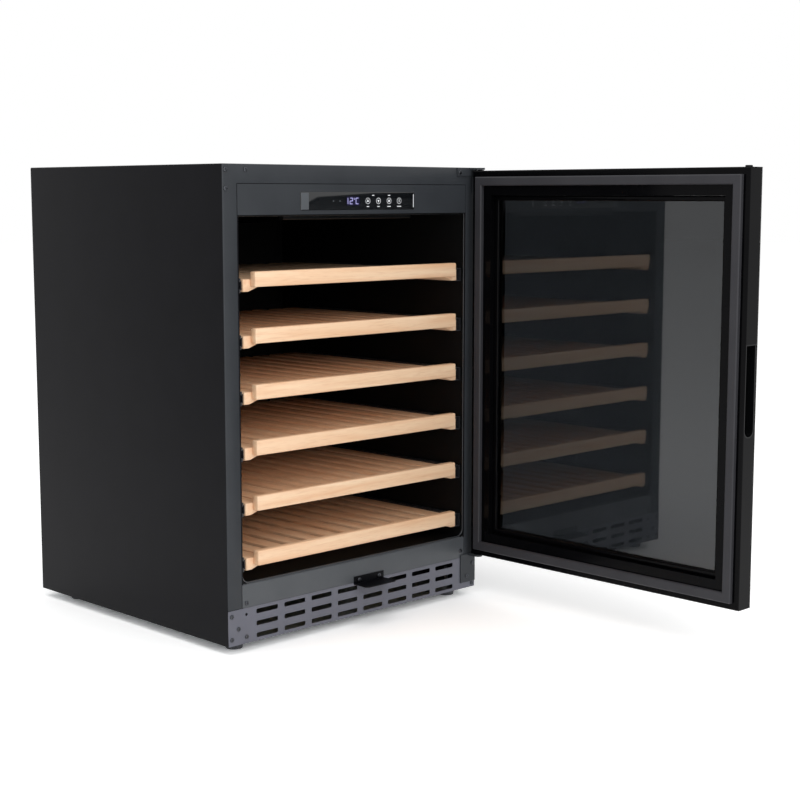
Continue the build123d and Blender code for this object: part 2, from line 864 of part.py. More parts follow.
# Levelling feet: grooved tapered pad on a threaded stud
for foot_name, (spot_x, spot_y) in foot_spots.items():
    foot_top = body_z - foot_seat_gap
    with BuildPart() as foot:
        with BuildSketch():
            with Locations((spot_x, spot_y)):
                Circle(foot_floor_diameter / 2)
        with BuildSketch(Plane.XY.offset(foot_top)):
            with Locations((spot_x, spot_y)):
                Circle(foot_top_diameter / 2)
        loft()
        with BuildSketch():
            with Locations((spot_x, spot_y)):
                with PolarLocations(foot_top_diameter / 2, foot_groove_count):
                    Rectangle(foot_groove_side, foot_groove_side, rotation=45)
        extrude(amount=foot_top, mode=Mode.SUBTRACT)
        with BuildSketch(Plane.XY.offset(foot_top)):
            with Locations((spot_x, spot_y)):
                Circle(foot_stud_diameter / 2)
        extrude(amount=foot_stud_length)
    write(foot_name, foot.part)

# Door, drawn closed on a plane at the hinge axis that is turned to the angle it stands at
hinge_x = half_width - hinge_inset
inner_face = hinge_forward
hinge_y = front_y - door_standoff - hinge_forward
door_turn = radians(door_rest_angle)
door_plane = Plane((hinge_x, hinge_y, 0), x_dir=(cos(door_turn), sin(door_turn), 0), z_dir=(0, 0, 1))
door_right = half_width - door_side_gap - hinge_x
door_left = -half_width + door_side_gap - hinge_x
outer_face = inner_face - door_thickness
glass_back = outer_face + outer_glass_thickness
door_bottom = toe_top + door_bottom_gap
door_top = top_z - door_top_gap
window_left = door_left + door_member
window_right = door_right - door_member
window_bottom = door_bottom + door_member
window_top = door_top - door_member
door_middle = (door_left + door_right) / 2
face_plane = Plane(
    door_plane.from_local_coords((0, 0, 0)),
    x_dir=door_plane.x_dir,
    z_dir=-door_plane.y_dir,
)
edge_plane = Plane(
    door_plane.from_local_coords((door_left, 0, 0)),
    x_dir=-door_plane.y_dir,
    z_dir=-door_plane.x_dir,
)

bush_seat = bush_diameter / 2 + bush_fit
swap_x = 2 * door_middle
frame_y = (glass_back, inner_face)
top_block = slab((door_left, door_right), frame_y, (window_top, door_top), door_plane)
bottom_block = slab((door_left, door_right), frame_y, (door_bottom, window_bottom), door_plane)
hinge_block = slab((window_right, door_right), frame_y, (window_bottom, window_top), door_plane)
handle_block = slab((door_left, window_left), frame_y, (window_bottom, window_top), door_plane)
door_inward = Axis(door_plane.origin, door_plane.y_dir)
door_across = Axis(door_plane.origin, door_plane.x_dir)


def inner_rim(member):
    """The edges round the face of a door member that looks into the cabinet."""
    return member.faces().sort_by(door_inward)[-1].edges()


with BuildPart() as door_top_rail:
    add(top_block)
    fillet(inner_rim(door_top_rail).sort_by(Axis.Z)[1:], door_edge_round)
    with BuildSketch(door_plane.offset(door_top)):
        Circle(bush_seat)
        with Locations((swap_x, 0)):
            Circle(plug_stem_diameter / 2)
    extrude(amount=-hinge_pin_engagement - bush_fit, mode=Mode.SUBTRACT)
with BuildPart() as door_bottom_rail:
    add(bottom_block)
    fillet(inner_rim(door_bottom_rail).sort_by(Axis.Z)[:-1], door_edge_round)
    with BuildSketch(door_plane.offset(door_bottom)):
        Circle(bush_seat)
    extrude(amount=hinge_pin_engagement + bush_fit, mode=Mode.SUBTRACT)
with BuildPart() as door_hinge_stile:
    add(hinge_block)
    fillet(inner_rim(door_hinge_stile).sort_by(door_across)[-1], door_edge_round)
write("door_frame", door_top_rail.part, door_bottom_rail.part, door_hinge_stile.part)

# Handle stile with a notch, and the moulded grip cup that lines it
grip_z = toe_top + grip_rise
grip_y = -(glass_back + inner_face) / 2


def grip_mouth(margin):
    """The grip's mouth on the door's free edge: square at the top, round at the bottom."""
    with BuildSketch(edge_plane) as mouth:
        with Locations((grip_y, grip_z)):
            Rectangle(grip_width + 2 * margin, grip_height + 2 * margin)
        fillet(vertices().group_by(Axis.Y)[0], grip_round + margin)
    return mouth.sketch


with BuildPart() as door_handle_stile:
    add(handle_block)
    fillet(inner_rim(door_handle_stile).sort_by(door_across)[0], door_edge_round)
    extrude(grip_mouth(grip_wall), amount=-(grip_depth + grip_wall), mode=Mode.SUBTRACT)
write("door_handle_stile", door_handle_stile.part)

with BuildPart() as grip_insert:
    extrude(grip_mouth(grip_wall), amount=-(grip_depth + grip_wall))
    extrude(grip_mouth(0), amount=-grip_depth, mode=Mode.SUBTRACT)
write("grip_insert", grip_insert.part)

# Glazing: bevelled outer pane over the whole door, spacer ring and inner pane in the window
outer_pane = slab((door_left, door_right), (outer_face, glass_back), (door_bottom, door_top), door_plane)
with BuildPart() as outer_glass:
    add(outer_pane)
    outer_edges = outer_glass.faces().sort_by(door_inward)[0].edges()
    chamfer(outer_edges, outer_glass_bevel)
write("outer_glass", outer_glass.part)

pane_x = (window_left + glass_edge_gap, window_right - glass_edge_gap)
pane_z = (window_bottom + glass_edge_gap, window_top - glass_edge_gap)
spacer_face = glass_back + glass_gap
with BuildPart() as glass_spacer:
    with BuildSketch(face_plane.offset(-glass_back)):
        with Locations((sum(pane_x) / 2, sum(pane_z) / 2)):
            Rectangle(pane_x[1] - pane_x[0], pane_z[1] - pane_z[0])
            Rectangle(
                pane_x[1] - pane_x[0] - 2 * spacer_width,
                pane_z[1] - pane_z[0] - 2 * spacer_width,
                mode=Mode.SUBTRACT,
            )
    extrude(amount=-glass_gap)
write("glass_spacer", glass_spacer.part)
write(
    "inner_glass",
    slab(pane_x, (spacer_face, spacer_face + inner_glass_thickness), pane_z, door_plane),
)

# Gasket: a folded bellows swept round the inner face, stopping just short of the front frame
gasket_line = gasket_inset + gasket_width / 2
gasket_x = (door_left + gasket_line, door_right - gasket_line)
gasket_z = (door_bottom + gasket_line, door_top - gasket_line)
gasket_height = door_standoff - gasket_clearance
fold_pitch = (gasket_height - gasket_base - gasket_lip) / gasket_fold_count
gasket_side = [(0, gasket_width / 2), (gasket_base, gasket_width / 2)]
for fold in range(gasket_fold_count):
    fold_level = gasket_base + fold * fold_pitch
    gasket_side.append((fold_level + fold_pitch / 2, gasket_width / 2 - gasket_fold_depth))
    gasket_side.append((fold_level + fold_pitch, gasket_width / 2))
gasket_side.append((gasket_height, gasket_width / 2 - gasket_lip))
gasket_start = door_plane.from_local_coords((door_middle, inner_face, gasket_z[0]))
with BuildPart() as door_gasket:
    with BuildLine(face_plane.offset(-inner_face)):
        Polyline(
            (door_middle, gasket_z[0]),
            (gasket_x[1], gasket_z[0]),
            (gasket_x[1], gasket_z[1]),
            (gasket_x[0], gasket_z[1]),
            (gasket_x[0], gasket_z[0]),
            close=True,
        )
    with BuildSketch(Plane(gasket_start, x_dir=door_plane.y_dir, z_dir=door_plane.x_dir)):
        with BuildLine():
            Polyline(*gasket_side, *[(rise, -half) for rise, half in reversed(gasket_side)], close=True)
        make_face()
    sweep(transition=Transition.RIGHT)
write("door_gasket", door_gasket.part)

# Plugs: one over the spare hinge hole, two over the handle holes in the outer pane
handle_x = door_left + handle_plug_inset
handle_z = grip_z
with BuildPart() as hinge_plug:
    with BuildSketch(door_plane.offset(door_top)):
        with Locations((swap_x, 0)):
            Circle(plug_diameter / 2)
    extrude(amount=plug_height)
    chamfer(hinge_plug.faces().sort_by(Axis.Z)[-1].edges(), plug_bevel)
    with BuildSketch(door_plane.offset(door_top)):
        with Locations((swap_x, 0)):
            Circle(plug_stem_diameter / 2 - bush_fit)
    extrude(amount=-plug_stem_length)
with BuildPart() as handle_plugs:
    with BuildSketch(face_plane.offset(-outer_face)):
        with Locations((handle_x, handle_z)):
            with GridLocations(handle_plug_diameter, handle_plug_spacing, 1, 2):
                Circle(handle_plug_diameter / 2)
    extrude(amount=handle_plug_height)
write("hole_plugs", hinge_plug.part, *handle_plugs.part.solids())

# Hinge bushes in the door, and the pinned leaves that carry it
bore_radius = hinge_pin_diameter / 2 + hinge_pin_clearance
bushes = []
for face_z, inward in ((door_top, -1), (door_bottom, 1)):
    with BuildPart() as bush:
        with BuildSketch(door_plane.offset(face_z)):
            Circle(bush_diameter / 2)
        extrude(amount=inward * hinge_pin_engagement)
        with BuildSketch(door_plane.offset(face_z)):
            Circle(bush_flange_diameter / 2)
        extrude(amount=-inward * bush_flange_thickness)
        with BuildSketch(door_plane.offset(face_z - inward * bush_flange_thickness)):
            Circle(bore_radius)
        extrude(amount=inward * (hinge_pin_engagement + bush_flange_thickness), mode=Mode.SUBTRACT)
    bushes.append(bush.part)
write("hinge_bushes", *bushes)

hinge_right = half_width - hinge_edge_margin
pin_length = bush_flange_thickness + hinge_pin_engagement


def hinge_leaf_outline(level):
    """A leaf reaching forward from the cabinet front, rounded about the pin."""
    with BuildSketch(Plane.XY.offset(level)) as outline:
        with Locations((hinge_x, hinge_y)):
            Circle(hinge_leaf_end)
        with Locations((hinge_x, (hinge_y + front_y) / 2)):
            Rectangle(2 * hinge_leaf_end, front_y - hinge_y)
    return outline.sketch


leaf_low = door_top + bush_flange_thickness + hinge_leaf_gap
with BuildPart() as upper_hinge:
    extrude(hinge_leaf_outline(leaf_low), amount=hinge_leaf)
    with BuildSketch(Plane.XZ.offset(-front_y)):
        with Locations((hinge_right, leaf_low + hinge_leaf)):
            Rectangle(hinge_top_flange_length, hinge_strip_height, align=(Align.MAX, Align.MAX))
            Rectangle(hinge_flange_width, hinge_top_flange_height, align=(Align.MAX, Align.MAX))
    extrude(amount=hinge_flange)
    with BuildSketch(Plane.XY.offset(leaf_low)):
        with Locations((hinge_x, hinge_y)):
            Circle(hinge_pin_diameter / 2)
    extrude(amount=-pin_length)
write("upper_hinge", upper_hinge.part)

leaf_high = door_bottom - bush_flange_thickness - hinge_leaf_gap
with BuildPart() as lower_hinge:
    extrude(hinge_leaf_outline(leaf_high - hinge_leaf), amount=hinge_leaf)
    with BuildSketch(Plane.XZ.offset(-front_y)):
        with Locations((hinge_right, leaf_high)):
            Rectangle(hinge_foot_width, hinge_foot_height, align=(Align.MAX, Align.MAX))
    extrude(amount=hinge_flange)
    with BuildSketch(Plane.XY.offset(leaf_high)):
        with Locations((hinge_x, hinge_y)):
            Circle(hinge_pin_diameter / 2)
    extrude(amount=pin_length)
write("lower_hinge", lower_hinge.part)
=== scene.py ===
# %% [markdown]
# # An under-counter cooler with slatted beech shelves
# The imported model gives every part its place, in metres. This lesson dresses it: sheet steel with folded
# edges, lacquered beech, smoked glass, a touch strip with lit digits, screws and a studio floor.

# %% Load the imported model
import json
import math

import bpy
from mathutils import Matrix, Vector


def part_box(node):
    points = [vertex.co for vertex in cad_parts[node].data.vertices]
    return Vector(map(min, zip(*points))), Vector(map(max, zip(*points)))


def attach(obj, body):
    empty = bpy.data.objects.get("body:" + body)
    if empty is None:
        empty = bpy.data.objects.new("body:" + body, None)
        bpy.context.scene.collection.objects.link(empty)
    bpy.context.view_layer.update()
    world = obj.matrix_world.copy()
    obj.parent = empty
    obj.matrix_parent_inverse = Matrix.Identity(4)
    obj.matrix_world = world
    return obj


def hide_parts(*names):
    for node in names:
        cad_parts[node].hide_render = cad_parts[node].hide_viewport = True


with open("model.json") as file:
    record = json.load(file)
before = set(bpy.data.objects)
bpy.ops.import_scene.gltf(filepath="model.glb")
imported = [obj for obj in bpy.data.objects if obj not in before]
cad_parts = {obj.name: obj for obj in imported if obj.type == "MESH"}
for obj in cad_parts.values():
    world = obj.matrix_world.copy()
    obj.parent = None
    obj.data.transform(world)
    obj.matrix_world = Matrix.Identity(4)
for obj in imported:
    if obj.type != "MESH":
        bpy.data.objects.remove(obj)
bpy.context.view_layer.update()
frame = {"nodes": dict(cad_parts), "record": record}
bpy.ops.object.select_all(action="DESELECT")
MM = 0.001

# %% [markdown]
# ## Camera
# The photograph is taken from the front left, with the lens about as high as the cabinet's top and some
# three metres away. The camera stands there. It is turned a few degrees further to the right than the
# photograph's and tipped down, with a slightly shorter lens, so that the whole open door fits in the frame.

# %% Camera
CAMERA_PLACE = Vector((-1.871, -2.280, 0.755))
CAMERA_YAW = 44.6
CAMERA_PITCH = 7.4
LENS = 71.0

camera_data = bpy.data.cameras.new("camera")
camera_data.lens = LENS
camera = bpy.data.objects.new("camera", camera_data)
camera.location = CAMERA_PLACE
camera.rotation_euler = (math.radians(90 - CAMERA_PITCH), 0, math.radians(-CAMERA_YAW))
bpy.context.collection.objects.link(camera)
bpy.context.scene.camera = camera
print("camera at", [round(v, 3) for v in CAMERA_PLACE], "lens", LENS, "mm")

# %% [markdown]
# ## Helpers for materials
# Colours are written as sRGB hex, as a paint card gives them, and Blender's shaders want linear light.
# Every node is added by one function that takes its settings, its input values and its links. A link can
# name a whole node, and then takes the first output that the node has in use.

# %% Colour and node helpers
def linear(paint):
    """Linear RGBA of an sRGB hex colour."""
    parts = [int(paint[i:i + 2], 16) / 255 for i in (1, 3, 5)]
    return [c / 12.92 if c <= 0.04045 else ((c + 0.055) / 1.055) ** 2.4 for c in parts] + [1.0]


def feed(target, links):
    """Links nodes, or single outputs of nodes, to the inputs of another node."""
    for socket, source in links.items():
        if isinstance(source, bpy.types.Node):
            source = next(output for output in source.outputs if output.enabled)
        target.id_data.links.new(source, target.inputs[socket])


def node(tree, kind, values=None, links=None, **settings):
    """Adds a shader node, with its settings, its input values and the sources that feed it."""
    made = tree.nodes.new("ShaderNode" + kind)
    for name, value in settings.items():
        setattr(made, name, value)
    for socket, value in (values or {}).items():
        made.inputs[socket].default_value = value
    feed(made, links or {})
    return made


def per_mm(size):
    """Texture scale at which one feature is this many millimetres wide."""
    return 1 / (size * MM)


def start_finish(name, **shader_values):
    """Keeps a new material with its shader's constants set; gives tree, shader and object coordinates."""
    material = bpy.data.materials.new(name)
    material.use_nodes = True
    finishes[name] = material
    tree = material.node_tree
    shader = tree.nodes["Principled BSDF"]
    for socket, value in shader_values.items():
        shader.inputs[socket.replace("_", " ")].default_value = value
    place = node(tree, "TexCoord").outputs["Object"]
    return tree, shader, place


finishes = {}
print("helpers ready")

# %% [markdown]
# ## Coated and moulded finishes
# Powder coat, moulded plastic and rubber are the same idea at different sizes: one colour that drifts a
# little, a skin of fine grain, and gloss that is never quite even. One recipe takes the colours, the gloss
# and the real grain size. The finest grains are drawn about as coarse as a render pixel, so that they show.

# %% Recipe for a grained skin
GLOSS_DRIFT = 0.05
GRAIN_STRENGTH = 0.6


def grained_skin(name, dark, light, gloss, grain, relief, patch=60, **shader_values):
    """A drifting colour, uneven gloss and a skin of grain; grain, relief and patch are in millimetres."""
    tree, shader, place = start_finish(name, **shader_values)
    drift = node(tree, "TexNoise", {"Scale": per_mm(patch), "Detail": 3.0}, {"Vector": place})
    skin = node(tree, "TexNoise", {"Scale": per_mm(grain), "Detail": 2.0}, {"Vector": place})
    paint = node(tree, "Mix", {"A": linear(dark), "B": linear(light)}, {"Factor": drift}, data_type="RGBA")
    shine = node(
        tree, "MapRange", {"To Min": gloss - GLOSS_DRIFT, "To Max": gloss + GLOSS_DRIFT}, {"Value": skin},
    )
    bump = node(tree, "Bump", {"Strength": GRAIN_STRENGTH, "Distance": relief * MM}, {"Height": skin})
    feed(shader, {"Base Color": paint, "Roughness": shine, "Normal": bump})


print("recipe ready")

# %% Coats on steel
# Satin black powder coat on the cabinet's skin: nearly black, with a soft broad shine and faint orange peel.
grained_skin("powder_coated_steel", "#08080b", "#0f0f13", 0.36, 1.1, 0.05, Specular_IOR_Level=0.08)
# The front frame and fascia: the same black coat and peel, painted greyer as the light that falls on the
# front, with a flatter shine.
grained_skin("powder_coat_painted_front_light", "#2a2d31", "#35383c", 0.4, 1.1, 0.05, Specular_IOR_Level=0.25)
# The sill's coat: the same black coat painted a step lighter again, as light reflected up from the bright
# floor, so that the sill stands out from the frame around it.
grained_skin("sill_coat_painted_floor_light", "#43464a", "#505357", 0.36, 1.1, 0.05, Specular_IOR_Level=0.4)
# The toe grille's coat: a bluish grey, painted lighter as light reflected up from the bright floor, so that
# the dark slots stand out.
grained_skin("grille_coat_painted_floor_light", "#5e5f68", "#6b6c76", 0.42, 1.1, 0.05, Specular_IOR_Level=0.3)
# Electro-coated slide steel: a thin black coat with a tighter shine than powder gives, painted dark grey as a
# sheen for the bright edges of the slide ends.
grained_skin("slide_coat_painted_edge_sheen", "#222326", "#303135", 0.28, 1.2, 0.03)
# Enamelled compressor shell: thick gloss black enamel over spun steel.
grained_skin("enamelled_steel", "#0c0c0d", "#161617", 0.24, 4.0, 0.05)
print("coats:", sorted(finishes))

# %% Plastics, rubber and foam
# Vacuum-formed ABS liner: matt black with a fine leathery grain from the mould.
grained_skin("moulded_abs_liner", "#08090a", "#0e0f10", 0.5, 1.6, 0.08, Specular_IOR_Level=0.15)
# Injection-moulded ABS door: near-black and glossier than the liner, with clear narrow highlights.
grained_skin("moulded_abs_door", "#030304", "#08080a", 0.14, 1.3, 0.012, Specular_IOR_Level=0.06)
# The polished cup of the grip: as black, but shiny enough for its round end to catch the light.
grained_skin("polished_abs_grip", "#08080a", "#0e0f10", 0.12, 6.0, 0.01, Specular_IOR_Level=0.18)
# The liner's rolled rim: the same black plastic, drawn thin and shiny, and painted grey as a highlight, so
# that it traces the opening.
grained_skin("rim_abs_painted_highlight", "#2b2d30", "#37393c", 0.2, 1.6, 0.02)
# Extruded PVC gasket: charcoal and slightly waxy.
grained_skin("pvc_gasket", "#29292d", "#36363a", 0.5, 2.0, 0.06, Specular_IOR_Level=0.25)
# Glass-filled nylon fans and glands: dull black with a dry grain.
grained_skin("glass_filled_nylon", "#18191a", "#232425", 0.62, 1.0, 0.07)
# The feet are the same nylon, scuffed to a dusty grey by the floor.
grained_skin("scuffed_nylon", "#35363a", "#45464a", 0.66, 1.0, 0.07)
# Nitrile rubber: dusty black without a highlight.
grained_skin("nitrile_rubber", "#151515", "#1f1f1f", 0.8, 1.4, 0.08)
# Sprayed polyurethane foam: cream, open and chalky.
grained_skin("polyurethane_foam", "#d9c48f", "#ead9ab", 0.9, 3.0, 0.5)
# Smoked acrylic over the lamp, unlit: almost as dark as the liner, with a soft sheen.
grained_skin("smoked_diffuser", "#0b0c0d", "#131415", 0.32, 6.0, 0.02, Specular_IOR_Level=0.2)
print(len(finishes), "skins so far")

# %% [markdown]
# ## Metals
# Hot-dip zinc freezes in small flat crystals, so a Voronoi pattern gives each cell its own grey. Rolled
# fins and drawn copper keep fine lines along the way they were pulled, which a stretched noise gives.

# %% Recipes for zinc and drawn metal
LINE_DRIFT = 0.08


def galvanised_steel(spangle=4.5):
    """Sheet with a fine spangle, zinc crystals a few millimetres across."""
    tree, shader, place = start_finish("galvanised_steel", Metallic=1.0)
    cells = node(tree, "TexVoronoi", {"Scale": per_mm(spangle)}, {"Vector": place})
    tone = node(tree, "SeparateColor", links={"Color": cells.outputs["Color"]}).outputs
    greys = {"A": linear("#9fa2a4"), "B": linear("#b3b6b8")}
    grey = node(tree, "Mix", greys, {"Factor": tone["Red"]}, data_type="RGBA")
    shine = node(tree, "MapRange", {"To Min": 0.42, "To Max": 0.52}, {"Value": tone["Green"]})
    feed(shader, {"Base Color": grey, "Roughness": shine})


def drawn_metal(name, dark, light, gloss, line, stretch):
    """Metal with fine lines along the way it was pulled; line is their spacing in millimetres."""
    tree, shader, place = start_finish(name, Metallic=1.0)
    pulled = node(tree, "Mapping", {"Scale": stretch}, {"Vector": place})
    lines = node(tree, "TexNoise", {"Scale": per_mm(line), "Detail": 2.0}, {"Vector": pulled})
    tone = node(tree, "Mix", {"A": linear(dark), "B": linear(light)}, {"Factor": lines}, data_type="RGBA")
    shine = node(
        tree, "MapRange", {"To Min": gloss - LINE_DRIFT, "To Max": gloss + LINE_DRIFT}, {"Value": lines},
    )
    feed(shader, {"Base Color": tone, "Roughness": shine})


print("recipes ready")

# %% Zinc, aluminium, copper and screws
EVEN = (1.0, 1.0, 1.0)
UPRIGHT_LINES = (1.0, 1.0, 0.05)
SIDEWAYS_LINES = (0.08, 1.0, 1.0)
# Galvanised sheet: pale grey cells that catch the light one by one.
galvanised_steel()
# Rolled aluminium fins: bright, with fine upright lines.
drawn_metal("rolled_aluminium", "#b9bcbe", "#d3d6d8", 0.32, 1.0, UPRIGHT_LINES)
# Drawn copper pipe: warm and bright, with long soft streaks.
drawn_metal("drawn_copper", "#b0653f", "#c98258", 0.3, 1.5, SIDEWAYS_LINES)
# Black anodised aluminium: a dark metal with a soft grey shine along the way it was extruded.
drawn_metal("black_anodised_aluminium", "#1c1d20", "#2b2c30", 0.36, 1.0, UPRIGHT_LINES)
# Zinc-plated screws: a cool grey plate with a bright spot where the head is round.
drawn_metal("zinc_plated_screws", "#74767b", "#9c9ea3", 0.28, 0.8, EVEN)
# Black zinc on the front screws: dark enough to sink into the coat, with the same bright spot.
drawn_metal("black_zinc_screws", "#3f4145", "#5d5f64", 0.28, 0.8, EVEN)
print("metals ready")

# %% [markdown]
# ## Beech
# Beech is pale pinkish brown with long soft growth bands and short darker flecks, the rays, that run with
# the grain. Slats are sawn along the shelf and the front bar across it, so the same wood is made twice, with
# its long direction turned. A thin satin lacquer keeps the shine low.

# %% Beech
def lacquered_beech(name, stretch, band=16.0, pore=1.6, ray=5.0, pore_relief=0.12):
    """Beech whose grain is long where the stretch is small; the other sizes are in millimetres."""
    tree, shader, place = start_finish(name, Coat_Weight=0.15, Coat_Roughness=0.3)
    along = node(tree, "Mapping", {"Scale": stretch}, {"Vector": place})
    bands = node(
        tree, "TexNoise", {"Scale": per_mm(band), "Detail": 4.0, "Distortion": 0.6}, {"Vector": along},
    )
    pores = node(tree, "TexNoise", {"Scale": per_mm(pore), "Detail": 2.0}, {"Vector": along})
    rays = node(tree, "TexVoronoi", {"Scale": per_mm(ray)}, {"Vector": along})
    band_tone = node(tree, "ValToRGB", links={"Fac": bands})
    dark, light = band_tone.color_ramp.elements
    dark.position = 0.3
    dark.color = linear("#e9bb93")
    light.position = 0.7
    light.color = linear("#f6d6b4")
    pore_share = node(
        tree, "MapRange", {"From Min": 0.52, "From Max": 0.75, "To Max": 0.35}, {"Value": pores},
    )
    with_pores = node(
        tree, "Mix", {"B": linear("#d3a177")}, {"Factor": pore_share, "A": band_tone}, data_type="RGBA",
    )
    ray_share = node(
        tree, "MapRange", {"From Max": 0.16, "To Min": 0.45, "To Max": 0.0}, {"Value": rays},
    )
    with_rays = node(
        tree, "Mix", {"B": linear("#c8956a")}, {"Factor": ray_share, "A": with_pores}, data_type="RGBA",
    )
    shine = node(tree, "MapRange", {"To Min": 0.38, "To Max": 0.52}, {"Value": pores})
    bump = node(tree, "Bump", {"Strength": 0.35, "Distance": pore_relief * MM}, {"Height": pores})
    feed(shader, {"Base Color": with_rays, "Roughness": shine, "Normal": bump})


# Beech: warm and pale, with long soft bands, short flecks and a low satin shine.
lacquered_beech("beech_across", (0.06, 1.0, 1.0))
lacquered_beech("beech_lengthways", (1.0, 0.06, 1.0))
print("two cuts of beech")

# %% [markdown]
# ## Glass, gloss strip, print and light
# Smoked float glass is clear but takes most of the light, so its colour is a mid grey on a transmissive
# shader. The touch strip is black acrylic with a mirror skin. Its digits glow violet-blue and its key rings
# are printed in pale ink.

# %% Recipes for glass, lit film and circuit board
def smoked_glass(wave_length=180, wave_relief=0.2):
    """Float glass tinted grey, with the faint waviness of the tin bath in its reflections."""
    tree, shader, place = start_finish(
        "smoked_float_glass", Base_Color=linear("#5a5d60"), Transmission_Weight=1.0, Roughness=0.02, IOR=1.52,
    )
    wave = node(tree, "TexNoise", {"Scale": per_mm(wave_length), "Detail": 1.0}, {"Vector": place})
    bump = node(tree, "Bump", {"Strength": 0.1, "Distance": wave_relief * MM}, {"Height": wave})
    feed(shader, {"Normal": bump})


def lit_film(name, dark, light, strength, frost=1.2):
    """Frosted film lit from behind, with a glow that is never quite even."""
    tree, shader, place = start_finish(
        name, Base_Color=linear("#0c0b16"), Roughness=0.4, Specular_IOR_Level=0.15,
        Emission_Strength=strength,
    )
    film = node(tree, "TexNoise", {"Scale": per_mm(frost)}, {"Vector": place})
    glow = node(tree, "Mix", {"A": linear(dark), "B": linear(light)}, {"Factor": film}, data_type="RGBA")
    feed(shader, {"Emission Color": glow})


def circuit_board(track=30):
    """Green solder mask with paler copper tracks under it."""
    tree, shader, place = start_finish("solder_mask_board", Roughness=0.35)
    greens = {"Color1": linear("#1d5a35"), "Color2": linear("#1a4f2f"), "Mortar": linear("#3f8a57")}
    tracks = node(tree, "TexBrick", {"Scale": per_mm(track), **greens}, {"Vector": place})
    feed(shader, {"Base Color": tracks})


print("recipes ready")

# %% Glass and the control strip's finishes
# Smoked glass: grey and clear, with reflections that waver slightly.
smoked_glass()
# Solder mask: mid green, with paler lines where copper runs under it.
circuit_board()
# The digits' film glows pale violet, and the window around them keeps a dim blue stray light.
lit_film("lit_display_film", "#b3aeff", "#dcd9ff", 1.1)
lit_film("dim_display_film", "#120e42", "#1b1658", 0.3)
# Cast black acrylic: deep black with a mirror skin and a few faint wipe marks.
grained_skin("cast_black_acrylic", "#0e1012", "#15171a", 0.1, 25.0, 0.01, Coat_Weight=0.4)
# Grey smoked lens over a sensor: duller and paler than the strip around it.
grained_skin("smoked_sensor_lens", "#4c4f53", "#565a5e", 0.35, 9.0, 0.01, Specular_IOR_Level=0.3)
# Fired ceramic ink behind the outer pane: a dense black that hides the frame and the sealant.
grained_skin("fired_ceramic_ink", "#040405", "#08080a", 0.5, 3.0, 0.01, Specular_IOR_Level=0.1)
# Screen-printed ink: pale grey, slightly raised and matt.
grained_skin("printed_ink", "#dfe1e5", "#f0f2f5", 0.6, 0.7, 0.02)
print(len(finishes), "finishes")

# %% [markdown]
# ## Finishes on the CAD parts
# Many parts already have their true shape, and only need a finish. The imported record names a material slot
# for each part, and this table says which finish that slot takes. A few parts differ from their slot.

# %% Dress the CAD parts
slot_finish = {
    "cabinet_steel": "powder_coated_steel",
    "zinc_steel": "galvanised_steel",
    # The frame takes the black coat painted greyer, as light falling on the front.
    "frame_steel": "powder_coat_painted_front_light",
    "liner_plastic": "moulded_abs_liner",
    "insulation_foam": "polyurethane_foam",
    "control_gloss": "cast_black_acrylic",
    "circuit_board": "solder_mask_board",
    # The slides' dark grey is painted sheen on a black coat, for their bright edges.
    "light_diffuser": "smoked_diffuser",
    "slide_steel": "slide_coat_painted_edge_sheen",
    "fin_aluminium": "rolled_aluminium",
    "fan_plastic": "glass_filled_nylon",
    "compressor_steel": "enamelled_steel",
    "black_rubber": "nitrile_rubber",
    "copper": "drawn_copper",
    "foot_plastic": "scuffed_nylon",
    "door_plastic": "moulded_abs_door",
    "smoked_glass": "smoked_float_glass",
    "beech": "beech_lengthways",
}
part_finish = {
    "door_gasket": "pvc_gasket",
    "grip_insert": "polished_abs_grip",
    # The fascia takes the black coat painted greyer, as light falling on the front.
    "control_fascia": "powder_coat_painted_front_light",
    # The toe grille's bluish grey is painted lighter, as light reflected up from the floor.
    "toe_grille": "grille_coat_painted_floor_light",
    "catch_plate": "powder_coated_steel",
}
for part in frame["record"]["subparts"]:
    name = part["node"]
    finish = part_finish.get(name, slot_finish[part["material_slot"]])
    mesh = frame["nodes"][name].data
    mesh.materials.clear()
    mesh.materials.append(finishes[finish])
print(len(frame["nodes"]), "CAD parts dressed")

# %% [markdown]
# ## Helpers for modelling
# Each piece starts from a primitive between two corners, in millimetres, and is shaped in edit mode. Faces
# and edges are chosen in code by where their middle is and which way they point.

# %% Measure, start and choose
ALIGNED = 0.9


def span(part):
    """Lowest and highest corner of a CAD part, in millimetres."""
    low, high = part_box(part)
    return low / MM, high / MM


def settle():
    """Puts the place, turn and size of a new primitive in its mesh."""
    bpy.ops.object.transform_apply(location=True, rotation=True, scale=True)


def block(name, low, high):
    """A cube between two corners."""
    middle = [(a + b) / 2 * MM for a, b in zip(low, high)]
    size = [(b - a) * MM for a, b in zip(low, high)]
    bpy.ops.mesh.primitive_cube_add(size=1, location=middle, scale=size)
    settle()
    bpy.context.object.name = name
    return bpy.context.object


def choose(piece, kind, test):
    """Edit mode with only the faces or edges selected whose middle and direction pass the test."""
    bpy.context.view_layer.objects.active = piece
    bpy.ops.object.mode_set(mode="EDIT")
    bpy.ops.mesh.select_mode(type=kind)
    bpy.ops.mesh.select_all(action="DESELECT")
    bpy.ops.object.mode_set(mode="OBJECT")
    mesh = piece.data
    if kind == "FACE":
        for face in mesh.polygons:
            face.select = test(face.center / MM, face.normal)
    else:
        for edge in mesh.edges:
            start, end = (mesh.vertices[i].co / MM for i in edge.vertices)
            edge.select = test((start + end) / 2, (end - start).normalized())
    bpy.ops.object.mode_set(mode="EDIT")


def near(value, target, slack=0.05):
    """True where two lengths in millimetres agree."""
    return abs(value - target) < slack


print("choosing helpers ready")

# %% Shape and round
SHARP_ANGLE = math.radians(40)


